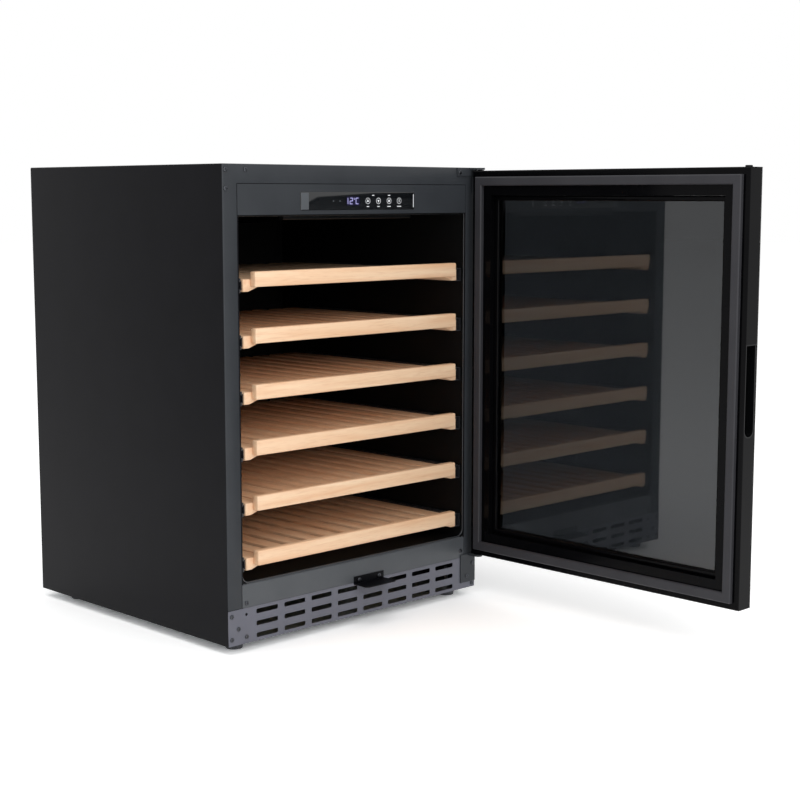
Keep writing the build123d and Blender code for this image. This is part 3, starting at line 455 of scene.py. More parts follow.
def apply_modifier(piece, kind, **settings):
    """Adds a modifier to a piece and applies it."""
    bpy.ops.object.mode_set(mode="OBJECT")
    bpy.context.view_layer.objects.active = piece
    modifier = piece.modifiers.new(kind.title(), kind)
    for name, value in settings.items():
        setattr(modifier, name, value)
    bpy.ops.object.modifier_apply(modifier=modifier.name)


def soften(piece, width, segments=2):
    """Rounds every sharp edge by a width in millimetres."""
    apply_modifier(
        piece, "BEVEL", width=width * MM, segments=segments, limit_method="ANGLE", angle_limit=SHARP_ANGLE,
    )


def bevel(width, segments, affect="EDGES"):
    """Bevels what is selected by a width in millimetres."""
    bpy.ops.mesh.bevel(offset=width * MM, segments=segments, affect=affect)


def extrude(x=0, y=0, z=0):
    """Extrudes what is selected by a move in millimetres."""
    bpy.ops.mesh.extrude_region_move(TRANSFORM_OT_translate={"value": (x * MM, y * MM, z * MM)})


def thicken(piece, thickness):
    """Gives a sheet its thickness, inwards from the faces that were drawn."""
    apply_modifier(piece, "SOLIDIFY", thickness=thickness * MM, offset=-1.0, use_even_offset=True)


print("shaping helpers ready")

# %% Hang a finished piece
SMOOTH_ANGLE = math.radians(35)


def hang(piece, body, finish=None, stands_for=()):
    """Smooths a finished piece, dresses it and hangs it on its body, in place of CAD parts."""
    if bpy.context.mode != "OBJECT":
        bpy.ops.object.mode_set(mode="OBJECT")
    bpy.ops.object.select_all(action="DESELECT")
    piece.select_set(True)
    bpy.context.view_layer.objects.active = piece
    bpy.ops.object.shade_smooth_by_angle(angle=SMOOTH_ANGLE)
    if finish:
        piece.data.materials.clear()
        piece.data.materials.append(finishes[finish])
    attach(piece, body)
    if stands_for:
        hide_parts(*stands_for)
    print(piece.name, "on", body, "faces", len(piece.data.polygons))


print("hanging helper ready")

# %% [markdown]
# ## Outer wrapper
# The cabinet's sides, top and front flange are one sheet, folded. A box is the quickest start: its front
# face is inset to the flange's width and opened, and the flange is cut away at the toe space. The flange's
# inner edge is stepped back behind the fascia and the grille, so that a narrow dark seam runs round them. The
# folds get the small radius that a press brake leaves, and Solidify gives the sheet its thickness. The
# flange's forward faces take a charcoal copy of the black coat, painted lighter as the light that falls on
# the front;
# the rest takes the black.

# %% Sizes of the wrapper
SHEET = 1.0
SEAM = 1.0
STEP_DEPTH = 0.6
STEP_REACH = 3.0
FOLD_RADIUS = 2.2
STEP_RADIUS = 0.4
SPECK = 0.02
base_z = span("left_side_panel")[0].z
front_y = span("front_frame")[0].y
top_high = span("top_panel")[1]
sill_low, sill_high = span("front_sill")
fascia_low, fascia_high = span("control_fascia")
half_width = top_high.x
opening_half = sill_high.x

hole_half = opening_half + SEAM
hole_top = fascia_high.z + SEAM
flange_foot = sill_low.z + SEAM
stile = half_width - hole_half
print("stile", round(stile, 2), "mm, flange from", round(flange_foot, 1), "to", round(hole_top, 1), "mm")

# %% Tests for faces and edges
def looks_forward(at, way):
    """True for a face that looks out of the front."""
    return way.y < -ALIGNED


def level_edge(y, z):
    """A test for edges that run from left to right at this depth and height."""
    return lambda at, way: near(at.y, y) and near(at.z, z) and abs(way.x) > ALIGNED


print("tests ready")

# %% Box, flange and toe space
wrapper = block("outer_wrapper", (-half_width, front_y, base_z), top_high)
choose(wrapper, "FACE", looks_forward)
bpy.ops.mesh.inset(thickness=stile * MM)
bpy.ops.mesh.delete(type="FACE")
inset_top = top_high.z - stile
choose(wrapper, "EDGE", level_edge(front_y, inset_top))
bpy.ops.transform.translate(value=(0, 0, (hole_top - inset_top) * MM))
choose(wrapper, "FACE", looks_forward)
bpy.ops.mesh.bisect(plane_co=(0, 0, flange_foot * MM), plane_no=(0, 0, 1))


def left_open(at, way):
    """True for the faces that the sheet lacks: floor, back and the front of the toe space."""
    toe_front = looks_forward(at, way) and at.z < flange_foot
    return way.z < -ALIGNED or way.y > ALIGNED or toe_front


choose(wrapper, "FACE", left_open)
bpy.ops.mesh.delete(type="FACE")
bpy.ops.object.mode_set(mode="OBJECT")
print("flat sheet faces", len(wrapper.data.polygons))

# %% Seams, folds and thickness
def on_hole(at, way):
    """True for an edge of the front flange's opening."""
    upright = near(abs(at.x), hole_half) and abs(way.z) > ALIGNED
    level = near(at.z, hole_top) and abs(way.x) > ALIGNED
    return near(at.y, front_y) and (upright or level)


def on_fold(at, way):
    """True for an edge where the sheet folds from front to side, front to top or side to top."""
    front_fold = near(abs(at.x), half_width) and near(at.y, front_y) and at.z > flange_foot
    top_fold = near(at.z, top_high.z) and (near(abs(at.x), half_width) or near(at.y, front_y))
    return front_fold or top_fold


def step_back():
    """Steps the selected edges back from the front, and then down behind the piece below."""
    extrude(y=STEP_DEPTH)
    extrude(z=-STEP_REACH)


choose(wrapper, "EDGE", on_hole)
step_back()
bpy.ops.transform.resize(value=((hole_half - STEP_REACH) / hole_half, 1, 1), center_override=(0, 0, 0))
choose(wrapper, "EDGE", level_edge(front_y, flange_foot))
step_back()
choose(wrapper, "EDGE", on_hole)
bevel(STEP_RADIUS, segments=2)
choose(wrapper, "EDGE", on_fold)
bevel(FOLD_RADIUS, segments=4)
bpy.ops.mesh.select_all(action="SELECT")
bpy.ops.mesh.normals_make_consistent(inside=False)
thicken(wrapper, SHEET)
choose(wrapper, "FACE", lambda at, way: True)
bpy.ops.mesh.remove_doubles(threshold=SPECK * MM)
bpy.ops.mesh.dissolve_degenerate(threshold=SPECK * MM)
bpy.ops.object.mode_set(mode="OBJECT")
print("folded sheet faces", len(wrapper.data.polygons))

# %% The wrapper's black coat and its painted front light
PAINTED_LIGHT_SPLIT = 0.4
wrapper.data.materials.append(finishes["powder_coated_steel"])
wrapper.data.materials.append(finishes["powder_coat_painted_front_light"])


def takes_painted_front_light(at, way):
    """True for faces that look forward, most of the way round the folds, but not in the seams: they get the
    painted front light.
    """
    in_opening = abs(at.x) < hole_half and at.z < hole_top
    in_seam = at.y > front_y + STEP_RADIUS and (at.z < flange_foot or in_opening)
    return way.y < -PAINTED_LIGHT_SPLIT and not in_seam


# The flange's forward faces get the greyer coat: painted light where the front is lit.
choose(wrapper, "FACE", takes_painted_front_light)
wrapper.active_material_index = 1
bpy.ops.object.material_slot_assign()
wrapper_parts = ("left_side_panel", "right_side_panel", "top_panel", "front_frame")
hang(wrapper, "cabinet", stands_for=wrapper_parts)

# %% [markdown]
# ## Sill
# Under the opening a sheet stands upright and folds back over the liner's floor. A block that keeps only its
# front and top faces already has that fold. It catches the light in the photograph, so it gets a generous
# radius. The lip narrows towards the back, clear of the liner's round corners, and the lower edge steps back
# behind the toe grille, where a dark seam shows.

# %% Sill
SILL_FOLD = 3.0
LIP_SHARE = 0.94
sill = block("sill_sheet", (sill_low.x, sill_low.y, flange_foot), sill_high)
choose(sill, "FACE", lambda at, way: way.y > ALIGNED or way.z < -ALIGNED or abs(way.x) > ALIGNED)
bpy.ops.mesh.delete(type="FACE")
choose(sill, "EDGE", level_edge(sill_low.y, flange_foot))
step_back()
choose(sill, "EDGE", level_edge(sill_low.y, sill_high.z))
bevel(SILL_FOLD, segments=5)
choose(sill, "EDGE", level_edge(sill_high.y, sill_high.z))
bpy.ops.transform.resize(value=(LIP_SHARE, 1, 1), center_override=(0, 0, 0))
thicken(sill, SHEET)
# The sill's lighter coat is painted light, reflected up from the floor.
hang(sill, "cabinet", "sill_coat_painted_floor_light", ("front_sill",))

# %% [markdown]
# ## Rim of the liner
# The liner's edge is rolled into a thin rounded rim inside the front frame, with the two lower corners as
# round as the liner's floor. A plane becomes it: two corners are bevelled, the face is inset to the rim's
# width and opened, and the ring is drawn forward to the liner's edge.

# %% Rim of the liner
RIM_WIDTH = 2.4
RIM_DEPTH = 3.0
RIM_CORNER = 16.0
RIM_ROUND = 0.9
liner_front = span("inner_liner")[0].y
opening_top = fascia_low.z
rim_middle = Vector((0, liner_front + RIM_DEPTH, (sill_high.z + opening_top) / 2))
bpy.ops.mesh.primitive_plane_add(size=1, location=rim_middle * MM, rotation=(math.radians(90), 0, 0))
rim = bpy.context.object
rim.name = "liner_rim"
rim.scale = (2 * opening_half * MM, (opening_top - sill_high.z) * MM, 1)
settle()
choose(rim, "EDGE", lambda at, way: near(at.z, sill_high.z))
bevel(RIM_CORNER, segments=8, affect="VERTICES")
bpy.ops.mesh.select_mode(type="FACE")
bpy.ops.mesh.select_all(action="SELECT")
bpy.ops.mesh.inset(thickness=RIM_WIDTH * MM)
bpy.ops.mesh.delete(type="FACE")
bpy.ops.mesh.select_all(action="SELECT")
extrude(y=-RIM_DEPTH)
bpy.ops.mesh.select_all(action="SELECT")
bpy.ops.mesh.normals_make_consistent(inside=False)
soften(rim, RIM_ROUND, segments=3)
# The rim's grey is a painted highlight on the black liner plastic.
hang(rim, "cabinet", "rim_abs_painted_highlight")

# %% [markdown]
# ## Touch strip
# The control strip is a slip of black acrylic set in the fascia. Its corners are rounded first and the rim of
# its face after them, because a rim that is bevelled last keeps one width all round. At the strip's left end
# a greyer lens covers a sensor.

# %% Touch strip
STRIP_CORNER = 3.0
STRIP_EDGE = 0.45
STRIP_PROUD = 0.5
strip_low, strip_high = span("control_window")
strip_mid = (strip_low + strip_high) / 2
strip_face = strip_low.y - STRIP_PROUD


def runs_deep(at, way):
    """True for an edge that runs from front to back."""
    return abs(way.y) > ALIGNED


def round_corners(piece, radius, segments):
    """Rounds the corners that a flat slip shows from the front."""
    choose(piece, "EDGE", runs_deep)
    bevel(radius, segments)


strip = block("touch_strip", (strip_low.x, strip_face, strip_low.z), strip_high)
round_corners(strip, STRIP_CORNER, segments=5)
choose(strip, "FACE", looks_forward)
bevel(STRIP_EDGE, segments=2)
hang(strip, "cabinet", "cast_black_acrylic", ("control_window",))

# %% Sensor lens
PRINT = 0.15
LENS_WIDTH = 17.0
LENS_MARGIN = 1.5
LENS_CORNER = 1.2
lens_left = strip_low.x + LENS_MARGIN
lens = block(
    "sensor_lens", (lens_left, strip_face - PRINT, strip_low.z + LENS_MARGIN),
    (lens_left + LENS_WIDTH, strip_face + PRINT, strip_high.z - LENS_MARGIN),
)
round_corners(lens, LENS_CORNER, segments=3)
hang(lens, "cabinet", "smoked_sensor_lens")

# %% [markdown]
# ## Lit digits
# The temperature shows in seven-segment figures on a dim violet window. A text object could give them, but a
# font draws curves where a display has straight strokes. So one segment is modelled, a slip with pointed
# ends, and the figures are copies of it, laid along or upright. A small ring is the degree sign.

# %% Display window
WINDOW_LEFT = -29.6
WINDOW_RIGHT = 1.0
WINDOW_HALF = 7.4
WINDOW_CORNER = 1.5
window = block(
    "display_window",
    (strip_mid.x + WINDOW_LEFT, strip_face - PRINT / 2, strip_mid.z - WINDOW_HALF),
    (strip_mid.x + WINDOW_RIGHT, strip_face + PRINT, strip_mid.z + WINDOW_HALF),
)
round_corners(window, WINDOW_CORNER, segments=4)
hang(window, "cabinet", "dim_display_film")

# %% Copy and join
def copy_piece(piece, name, move=(0, 0, 0), turn=None):
    """A copy with a mesh of its own, turned and then moved by millimetres."""
    made = piece.copy()
    made.data = piece.data.copy()
    made.name = name
    bpy.context.collection.objects.link(made)
    made.data.transform(Matrix.Translation(Vector(move) * MM) @ (turn or Matrix()))
    return made


def join(pieces, name):
    """Joins pieces into the first, which takes a new name."""
    bpy.ops.object.select_all(action="DESELECT")
    for piece in pieces:
        piece.select_set(True)
    bpy.context.view_layer.objects.active = pieces[0]
    bpy.ops.object.join()
    pieces[0].name = name
    return pieces[0]


print("copying helpers ready")

# %% Seven-segment figures
STROKE = 1.1
STROKE_POINT = 0.45 * STROKE
HALF_DIGIT_WIDTH = 3.1
HALF_DIGIT_HEIGHT = 4.95
SEGMENTS = {"1": "bc", "2": "abged", "C": "afed"}
FIGURE_SPOTS = (("1", -29.7), ("2", -18.7), ("C", -4.7))

half_stroke = STROKE / 2
half_segment = HALF_DIGIT_WIDTH - STROKE / 4
segment = block(
    "segment", (-half_segment, strip_face - PRINT, -half_stroke),
    (half_segment, strip_face + PRINT, half_stroke),
)
round_corners(segment, STROKE_POINT, segments=1)
bpy.ops.object.mode_set(mode="OBJECT")

# Across, up and whether it stands, for each segment of a figure
segment_spots = {
    "a": (0, HALF_DIGIT_HEIGHT, False),
    "g": (0, 0, False),
    "d": (0, -HALF_DIGIT_HEIGHT, False),
    "f": (-HALF_DIGIT_WIDTH, HALF_DIGIT_HEIGHT / 2, True),
    "b": (HALF_DIGIT_WIDTH, HALF_DIGIT_HEIGHT / 2, True),
    "e": (-HALF_DIGIT_WIDTH, -HALF_DIGIT_HEIGHT / 2, True),
    "c": (HALF_DIGIT_WIDTH, -HALF_DIGIT_HEIGHT / 2, True),
}
stand_up = Matrix.Rotation(math.radians(90), 4, "Y")
strokes = []
for figure, middle in FIGURE_SPOTS:
    for letter in SEGMENTS[figure]:
        across, up, stands = segment_spots[letter]
        spot = (strip_mid.x + middle + across, 0, strip_mid.z + up)
        strokes.append(copy_piece(segment, "stroke", spot, stand_up if stands else None))
bpy.data.objects.remove(segment)
print(len(strokes), "strokes")

# %% Prints on the strip
LINE_END = 0.9


def print_disc(radius, across, up=0.0, sides=24, turn=0.0, sunk=0.0):
    """A flat face on the strip with a given number of sides, in edit mode and selected."""
    spot = Vector((strip_mid.x + across, strip_face + sunk, strip_mid.z + up)) * MM
    bpy.ops.mesh.primitive_circle_add(
        vertices=sides, radius=radius * MM, fill_type="NGON", location=spot,
        rotation=(math.radians(90), math.radians(turn), 0),
    )
    settle()
    bpy.ops.object.mode_set(mode="EDIT")
    bpy.ops.mesh.select_mode(type="FACE")
    bpy.ops.mesh.select_all(action="SELECT")
    return bpy.context.object


def open_middle(width):
    """Turns the selected face into a ring of a given width."""
    bpy.ops.mesh.inset(thickness=width * MM)
    bpy.ops.mesh.delete(type="FACE")


def raise_print(height=PRINT):
    """Gives the print being edited its thickness."""
    bpy.ops.mesh.select_all(action="SELECT")
    extrude(y=-height)
    bpy.ops.object.mode_set(mode="OBJECT")


def print_line(across, up, half_long, half_tall):
    """A thin printed line with round ends, by its middle and its half sizes."""
    line = block(
        "line", (strip_mid.x + across - half_long, strip_face - PRINT, strip_mid.z + up - half_tall),
        (strip_mid.x + across + half_long, strip_face, strip_mid.z + up + half_tall),
    )
    round_corners(line, min(half_long, half_tall) * LINE_END, segments=2)
    bpy.ops.object.mode_set(mode="OBJECT")
    return line


print("printing helpers ready")

# %% Degree sign
DEGREE_ACROSS = -11.4
DEGREE_UP = 3.6
DEGREE_RADIUS = 1.5
degree = print_disc(DEGREE_RADIUS, DEGREE_ACROSS, DEGREE_UP, sunk=PRINT)
open_middle(half_stroke)
raise_print(2 * PRINT)
hang(join([degree] + strokes, "lit_digits"), "cabinet", "lit_display_film")

# %% [markdown]
# ## Printed keys
# Four touch keys sit right of the digits, each a printed ring with a sign in it: up, down, lamp and power.
# The rings come from an inset circle. The signs come from circles too, because a three-sided circle is a
# triangle. Short dashes stand over and under the keys, and a pale line runs down the strip's right end. Two
# faint dots left of the digits mark the working lamps.

# %% Key rings and signs
KEY_SPOTS = (20.4, 45.7, 71.3, 96.1)
KEY_RING = 5.3
RING_WIDTH = 0.65
# Key, number of sides, radius and turn of each sign
SIGNS = ((0, 3, 3.0, 0), (1, 3, 3.0, 180), (2, 24, 2.2, 0))
POWER_UP = 0.3
POWER_HALF = 2.9
LINE_HALF = 0.7
marks = []
for across in KEY_SPOTS:
    marks.append(print_disc(KEY_RING, across, sides=40))
    open_middle(RING_WIDTH)
    raise_print()
for key, sides, radius, turn in SIGNS:
    marks.append(print_disc(radius, KEY_SPOTS[key], sides=sides, turn=turn))
    raise_print()
marks.append(print_line(KEY_SPOTS[3], POWER_UP, LINE_HALF, POWER_HALF))
print(len(marks), "rings and signs")

# %% Dashes, end line and lamp dots
DASH_DROP = 9.6
# Half lengths of the dashes under the keys, then the place and half length of those over them
LOW_DASHES = (3.0, 3.0, 4.4, 5.2)
HIGH_DASHES = ((33.0, 2.6), (71.3, 3.0))
END_LINE_INSET = 2.4
END_LINE_HALF = 11.5
LAMP_SPOTS = (-60.0, -45.0)
LAMP_RADIUS = 1.3
marks.append(print_line(strip_high.x - END_LINE_INSET - strip_mid.x, 0, LINE_HALF, END_LINE_HALF))
for across, half_long in zip(KEY_SPOTS, LOW_DASHES):
    marks.append(print_line(across, -DASH_DROP, half_long, LINE_HALF))
for across, half_long in HIGH_DASHES:
    marks.append(print_line(across, DASH_DROP, half_long, LINE_HALF))
hang(join(marks, "printed_keys"), "cabinet", "printed_ink")

lamps = []
for across in LAMP_SPOTS:
    lamps.append(print_disc(LAMP_RADIUS, across, sides=16))
    raise_print()
hang(join(lamps, "lamp_dots"), "cabinet", "smoked_sensor_lens")

# %% [markdown]
# ## Screws
# Every visible screw is a pan head with a cross recess. One is modelled from a short cylinder: its rim is
# rounded, and two crossed slips are cut out of it. Copies then go on the front where the photograph shows
# them, and later on the back where such sheets are fixed. Each is pressed against what it holds.

# %% One screw
HEAD_RADIUS = 3.8
HEAD_HEIGHT = 1.8
HEAD_ROUND = 0.7
RECESS_LONG = 2.2
RECESS_SHORT = 0.55
RECESS_DEPTH = 0.9
OVERCUT = 1.0
bpy.ops.mesh.primitive_cylinder_add(
    vertices=28, radius=HEAD_RADIUS * MM, depth=HEAD_HEIGHT * MM, rotation=(math.radians(90), 0, 0),
    location=(0, -HEAD_HEIGHT / 2 * MM, 0),
)
settle()
screw = bpy.context.object
choose(screw, "FACE", looks_forward)
bevel(HEAD_ROUND, segments=3)
bpy.ops.object.mode_set(mode="OBJECT")
for across, up in ((RECESS_LONG, RECESS_SHORT), (RECESS_SHORT, RECESS_LONG)):
    slip = block("slip", (-across, -HEAD_HEIGHT - OVERCUT, -up), (across, -HEAD_HEIGHT + RECESS_DEPTH, up))
    apply_modifier(screw, "BOOLEAN", object=slip, operation="DIFFERENCE")
    bpy.data.objects.remove(slip)
print("screw faces", len(screw.data.polygons))

# %% Screws on the front
HINGE_FLANGE = 2.5
CATCH_SHEET = 1.5
CATCH_SCREW_REACH = 24.0
CATCH_SCREW_RISE = 64.5
# Distance in from the cabinet's side and height above its base
LEFT_SCREWS = ((7, 50), (21, 27), (7, 11), (38, 11), (39, 68), (6, 781), (6, 751), (47, 781))
RIGHT_SCREWS = ((8, 7), (39, 74))
HINGE_SCREWS = ((8, 47), (24, 24), (6, 781), (6, 751), (47, 781))
catch_low, catch_high = span("catch_plate")
catch_mid = (catch_low.x + catch_high.x) / 2
front_spots = [(inset - half_width, front_y, base_z + rise) for inset, rise in LEFT_SCREWS]
front_spots += [(half_width - inset, front_y, base_z + rise) for inset, rise in RIGHT_SCREWS]
front_spots += [(half_width - inset, front_y - HINGE_FLANGE, base_z + rise) for inset, rise in HINGE_SCREWS]
for reach in (-CATCH_SCREW_REACH, CATCH_SCREW_REACH):
    front_spots.append((catch_mid + reach, front_y - CATCH_SHEET, base_z + CATCH_SCREW_RISE))
front_screws = [copy_piece(screw, "screw", spot) for spot in front_spots]
hang(join(front_screws, "front_screws"), "cabinet", "black_zinc_screws")

# %% [markdown]
# ## Pressings on the back
# A large thin sheet drums unless it is stiffened, so a bead is pressed round the back's field, and the cover
# over the machine space has a raised rim that its screws clamp. Both are frames with a softened section, set
# on the sheet they belong to, because a CAD part's own mesh is never changed.

# %% A frame from a block
def ring(name, low, high, axis, width):
    """A flat frame between two corners, open along one axis (0 is x, 1 is y), with bars of a given width."""
    made = block(name, low, high)
    choose(made, "FACE", lambda at, way: abs(way[axis]) > ALIGNED)
    bpy.ops.mesh.inset(thickness=width * MM)
    bpy.ops.mesh.bridge_edge_loops()
    return made


print("frame helper ready")

# %% Pressings on the back
PRESSING_MARGIN = 55.0
PRESSING_WIDTH = 16.0
PRESSING_HEIGHT = 1.8
PRESSING_ROUND = 1.1
COVER_RIM = 18.0
COVER_STEP = 1.0
COVER_ROUND = 0.4
back_low, back_high = span("back_panel")
cover_low, cover_high = span("rear_cover")
cover_face = cover_high.y + COVER_STEP
back_bead = ring(
    "back_bead", (back_low.x + PRESSING_MARGIN, back_high.y - SHEET / 2, cover_high.z + PRESSING_MARGIN),
    (back_high.x - PRESSING_MARGIN, back_high.y + PRESSING_HEIGHT, back_high.z - PRESSING_MARGIN),
    axis=1, width=PRESSING_WIDTH,
)
soften(back_bead, PRESSING_ROUND, segments=3)
hang(back_bead, "cabinet", "galvanised_steel")
cover_rim = ring(
    "cover_rim", (cover_low.x, cover_high.y - SHEET / 2, cover_low.z),
    (cover_high.x, cover_face, cover_high.z), axis=1, width=COVER_RIM,
)
soften(cover_rim, COVER_ROUND)
hang(cover_rim, "cabinet", "galvanised_steel")

# %% Screws on the back
EDGE_MARGIN = 9.0
TOP_SCREW_REACH = 140.0
SIDE_SCREW_SHARES = (0.25, 0.5, 0.75, 0.98)
half_turn = Matrix.Rotation(math.pi, 4, "Z")
back_spots = []
for side in (-1, 1):
    back_edge = side * (back_high.x - EDGE_MARGIN)
    cover_edge = side * (cover_high.x - EDGE_MARGIN)
    for share in SIDE_SCREW_SHARES:
        back_spots.append((back_edge, back_high.y, back_low.z + share * (back_high.z - back_low.z)))
    back_spots += [
        (cover_edge, cover_face, cover_low.z + EDGE_MARGIN),
        (cover_edge, cover_face, cover_high.z - EDGE_MARGIN),
        (side * TOP_SCREW_REACH, back_high.y, back_high.z - EDGE_MARGIN),
        (side * TOP_SCREW_REACH, cover_face, cover_high.z - EDGE_MARGIN),
    ]
back_screws = [copy_piece(screw, "screw", spot, half_turn) for spot in back_spots]
hang(join(back_screws, "back_screws"), "cabinet", "zinc_plated_screws")
bpy.data.objects.remove(screw)

# %% [markdown]
# ## Shelves
# A shelf is a beech front bar, two side rails with a sloping underside, ten slats and three battens. Each
# stick starts as a block and gets its edges eased, as a router leaves them. One slat and one batten are
# repeated by an Array. Bar and battens take the cross-cut beech, rails and slats the lengthways one, so the
# grain runs the right way on each stick.

# %% Shelf sizes
BAR_HALF = 237.5
BAR_HEIGHT = 25.0
BAR_THICKNESS = 14.0
BAR_ROUND = 2.2
RAIL_WIDTH = 35.0
RAIL_DROP = 12.5
RAIL_FOOT = 12.0
RAIL_SLOPE = 8.0
RAIL_ROUND = 1.2
SLAT_COUNT = 10
SLAT_WIDTH = 30.0
SLAT_THICKNESS = 8.0
SLAT_MARGIN = 6.75
SLAT_ROUND = 1.3
BATTEN_COUNT = 3
BATTEN_WIDTH = 25.0
BATTEN_THICKNESS = 7.0
BATTEN_MARGIN = 20.0
BATTEN_ROUND = 1.0


def repeat(piece, count, step):
    """Repeats a piece in a row, each copy one step in millimetres further on."""
    apply_modifier(
        piece, "ARRAY", count=count, use_relative_offset=False, use_constant_offset=True,
        constant_offset_displace=[length * MM for length in step],
    )


print("sticks in a shelf:", 1 + 2 + SLAT_COUNT + BATTEN_COUNT)

# %% One shelf
def beech_shelf(name, low, high):
    """A whole shelf in the box of its CAD solids, in two cuts of beech."""
    rail_inner = high.x - RAIL_WIDTH
    back_of_bar = low.y + BAR_THICKNESS
    slat_top = high.z - RAIL_DROP
    slat_bottom = slat_top - SLAT_THICKNESS

    bar = block("bar", (-BAR_HALF, low.y, high.z - BAR_HEIGHT), (BAR_HALF, back_of_bar, high.z))
    soften(bar, BAR_ROUND, segments=3)

    rails = block("rails", (rail_inner, back_of_bar, low.z), (high.x, high.y, slat_top))
    bpy.ops.object.mode_set(mode="EDIT")
    bpy.ops.mesh.select_all(action="SELECT")
    bpy.ops.mesh.bisect(plane_co=((high.x - RAIL_FOOT) * MM, 0, 0), plane_no=(1, 0, 0))
    choose(rails, "EDGE", lambda at, way: near(at.x, rail_inner) and near(at.z, low.z))
    bpy.ops.transform.translate(value=(0, 0, RAIL_SLOPE * MM))
    soften(rails, RAIL_ROUND)
    apply_modifier(rails, "MIRROR", use_axis=(True, False, False), use_mirror_merge=False)

    first = -rail_inner + SLAT_MARGIN
    slat_pitch = (2 * (rail_inner - SLAT_MARGIN) - SLAT_WIDTH) / (SLAT_COUNT - 1)
    slats = block("slats", (first, back_of_bar, slat_bottom), (first + SLAT_WIDTH, high.y, slat_top))
    soften(slats, SLAT_ROUND)
    repeat(slats, SLAT_COUNT, (slat_pitch, 0, 0))

    batten_y = back_of_bar + BATTEN_MARGIN
    batten_pitch = (high.y - BATTEN_MARGIN - BATTEN_WIDTH - batten_y) / (BATTEN_COUNT - 1)
    battens = block(
        "battens", (-rail_inner, batten_y, slat_bottom - BATTEN_THICKNESS),
        (rail_inner, batten_y + BATTEN_WIDTH, slat_bottom),
    )
    soften(battens, BATTEN_ROUND)
    repeat(battens, BATTEN_COUNT, (0, batten_pitch, 0))

    for stick, cut in ((bar, "across"), (rails, "lengthways"), (slats, "lengthways"), (battens, "across")):
        stick.data.materials.append(finishes["beech_" + cut])
    return join([bar, rails, slats, battens], name)


full_low, full_high = span("shelf_1")
full_shelf = beech_shelf("beech_shelf_1", full_low, full_high)
hang(full_shelf, "shelf_1", stands_for=("shelf_1",))

# %% The other shelves
for number in range(2, 6):
    place = f"shelf_{number}"
    rise = span(place)[1].z - full_high.z
    shelf = copy_piece(full_shelf, f"beech_{place}", (0, 0, rise))
    hang(shelf, place, stands_for=(place,))
short_shelf = beech_shelf("beech_shelf_6", *span("shelf_6"))
hang(short_shelf, "shelf_6", stands_for=("shelf_6",))

# %% [markdown]
# ## Glazing bead
# On the inside of the door a black bead holds the inner pane in its frame. It is a ring with a rounded edge:
# a thin block over the window is inset on both faces and its middle is bridged through.

# %% Glazing bead
BEAD_WIDTH = 9.0
BEAD_DEPTH = 7.0
BEAD_ROUND = 2.0
pane_low, pane_high = span("inner_glass")
bead_low = (pane_low.x - BEAD_DEPTH, pane_low.y, pane_low.z)
bead_high = (pane_low.x, pane_high.y, pane_high.z)
bead = ring("glazing_bead", bead_low, bead_high, axis=0, width=BEAD_WIDTH)
soften(bead, BEAD_ROUND, segments=3)
hang(bead, "door", "moulded_abs_door")

# %% [markdown]
# ## Spacer between the panes
# The two panes are held apart by a hollow bar filled with drying beads. Here it is black anodised, a hair
# clear of the glass on both sides where the sealant sits, with a shallow groove along the side that shows.

# %% Spacer between the panes
SPACER_WIDTH = 8.0
SPACER_ROUND = 0.3
SEALANT = 0.2
GROOVE_WIDTH = 3.0
GROOVE_DEPTH = 0.8
gap_low, gap_high = span("glass_spacer")
gap_mid = (gap_low + gap_high) / 2
groove_inset = (gap_high.x - gap_low.x - GROOVE_WIDTH) / 2
spacer = ring(
    "spacer_bar", (gap_low.x + SEALANT, gap_low.y, gap_low.z),
    (gap_high.x - SEALANT, gap_high.y, gap_high.z), axis=0, width=SPACER_WIDTH,
)


def faces_window(at, way):
    """True for the spacer's sides that look into the window."""
    return abs(way.x) < 1 - ALIGNED and (at - gap_mid).dot(way) < 0


choose(spacer, "FACE", faces_window)
bpy.ops.mesh.inset(thickness=groove_inset * MM, depth=-GROOVE_DEPTH * MM)
soften(spacer, SPACER_ROUND)
hang(spacer, "door", "black_anodised_aluminium", ("glass_spacer",))

# %% [markdown]
# ## Printed border of the outer pane
# The outer pane covers the whole door, and a border of black ink, fired onto its back, hides the frame and
# the spacer behind it. It is a flat ring as wide as both, set a hair inside the glass, because two faces in
# one place flicker.

# %% Printed border of the outer pane
INK = 0.2
INK_DEPTH = 0.3
INK_MARGIN = 0.5
INK_ROUND = 0.05
outer_low, outer_high = span("outer_glass")
ink_x = outer_low.x + INK_DEPTH
ink_width = gap_low.y - outer_low.y + SPACER_WIDTH - 2 * INK_MARGIN
border = ring(
    "border_print", (ink_x, outer_low.y + INK_MARGIN, outer_low.z + INK_MARGIN),
    (ink_x + INK, outer_high.y - INK_MARGIN, outer_high.z - INK_MARGIN), axis=0, width=ink_width,
)
soften(border, INK_ROUND, segments=1)
hang(border, "door", "fired_ceramic_ink")

# %% [markdown]
# ## Studio
# The photograph has a white ground with a soft shadow at the feet. A large pale floor carries the shadow.
# Floor and world look white to the camera, to shiny surfaces and through glass, and give a plainer light to
# everything else. The floor's brightness fades to the world's far away, so that no edge shows between them.
# One broad lamp stands in front, left of the door's swing, and one hangs overhead, because the shelves and
# the frame are lit evenly.

# %% What is seen directly
def seen_directly(tree):
    """1 for rays from the camera, from a reflection or through glass, and 0 for all others."""
    paths = node(tree, "LightPath").outputs
    seen = paths["Is Camera Ray"]
    for ray in ("Is Glossy Ray", "Is Transmission Ray"):
        seen = node(tree, "Math", links={0: seen, 1: paths[ray]}, operation="MAXIMUM")
    return seen


print("light path helper ready")

# %% Floor
FLOOR_SIDE = 40.0
NEAR_GAIN = 1.5
FAR_GAIN = 1.3
FADE_START = 3.0
FADE_END = 18.0


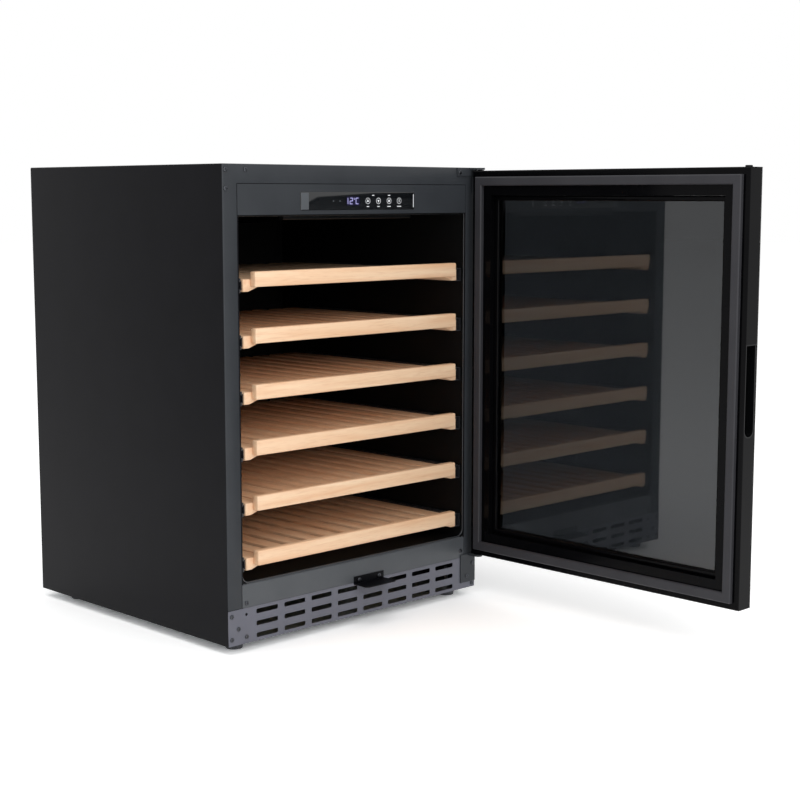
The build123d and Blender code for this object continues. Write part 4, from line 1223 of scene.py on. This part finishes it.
def white_ground(drift=400):
    """Matt pale floor, brighter to the eye than to the object, so that it is white and keeps its shadow."""
    tree, shader, place = start_finish("pale_studio_floor", Roughness=0.9, Specular_IOR_Level=0.1)
    dust = node(tree, "TexNoise", {"Scale": per_mm(drift)}, {"Vector": place})
    pales = {"A": linear("#f4f4f4"), "B": linear("#f8f8f8")}
    tone = node(tree, "Mix", pales, {"Factor": dust}, data_type="RGBA")
    feed(shader, {"Base Color": tone})
    away = node(tree, "VectorMath", links={0: place}, operation="LENGTH")
    fade = {"From Min": FADE_START, "From Max": FADE_END, "To Min": NEAR_GAIN, "To Max": FAR_GAIN}
    gain = node(tree, "MapRange", fade, {"Value": away})
    bright = node(tree, "VectorMath", links={0: tone, "Scale": gain}, operation="SCALE")
    to_eye = node(tree, "BsdfDiffuse", links={"Color": bright})
    ground = node(tree, "MixShader", links={0: seen_directly(tree), 1: shader, 2: to_eye})
    feed(tree.nodes["Material Output"], {"Surface": ground})


white_ground()
bpy.ops.mesh.primitive_plane_add(size=FLOOR_SIDE)
floor = bpy.context.object
floor.name = "studio_floor"
floor.data.materials.append(finishes["pale_studio_floor"])
print("floor", FLOOR_SIDE, "m square")

# %% World
WORLD_LIGHT = 0.84
world = bpy.data.worlds.new("studio")
bpy.context.scene.world = world
world.use_nodes = True
sky = world.node_tree
background = sky.nodes["Background"]
sky_light = node(sky, "MapRange", {"To Min": WORLD_LIGHT, "To Max": 1.0}, {"Value": seen_directly(sky)})
background.inputs["Color"].default_value = (1, 1, 1, 1)
feed(background, {"Strength": sky_light})
print("world lights at", WORLD_LIGHT)

# %% Lamps
AIM = Vector((0.0, -0.2, 0.4))


def soft_box(name, place, size, power):
    """A square area lamp that looks at the cabinet; its size is in metres and its power in watts."""
    lamp = bpy.data.lights.new(name, "AREA")
    lamp.size = size
    lamp.energy = power
    holder = bpy.data.objects.new(name, lamp)
    holder.location = place
    holder.rotation_mode = "QUATERNION"
    holder.rotation_quaternion = (AIM - Vector(place)).to_track_quat("-Z", "Y")
    bpy.context.collection.objects.link(holder)


soft_box("front_box", (-0.9, -3.4, 1.8), size=1.8, power=38)
soft_box("overhead_box", (-0.5, -0.5, 3.6), size=2.5, power=24)
bpy.context.scene.view_settings.view_transform = "Standard"
print("studio ready")
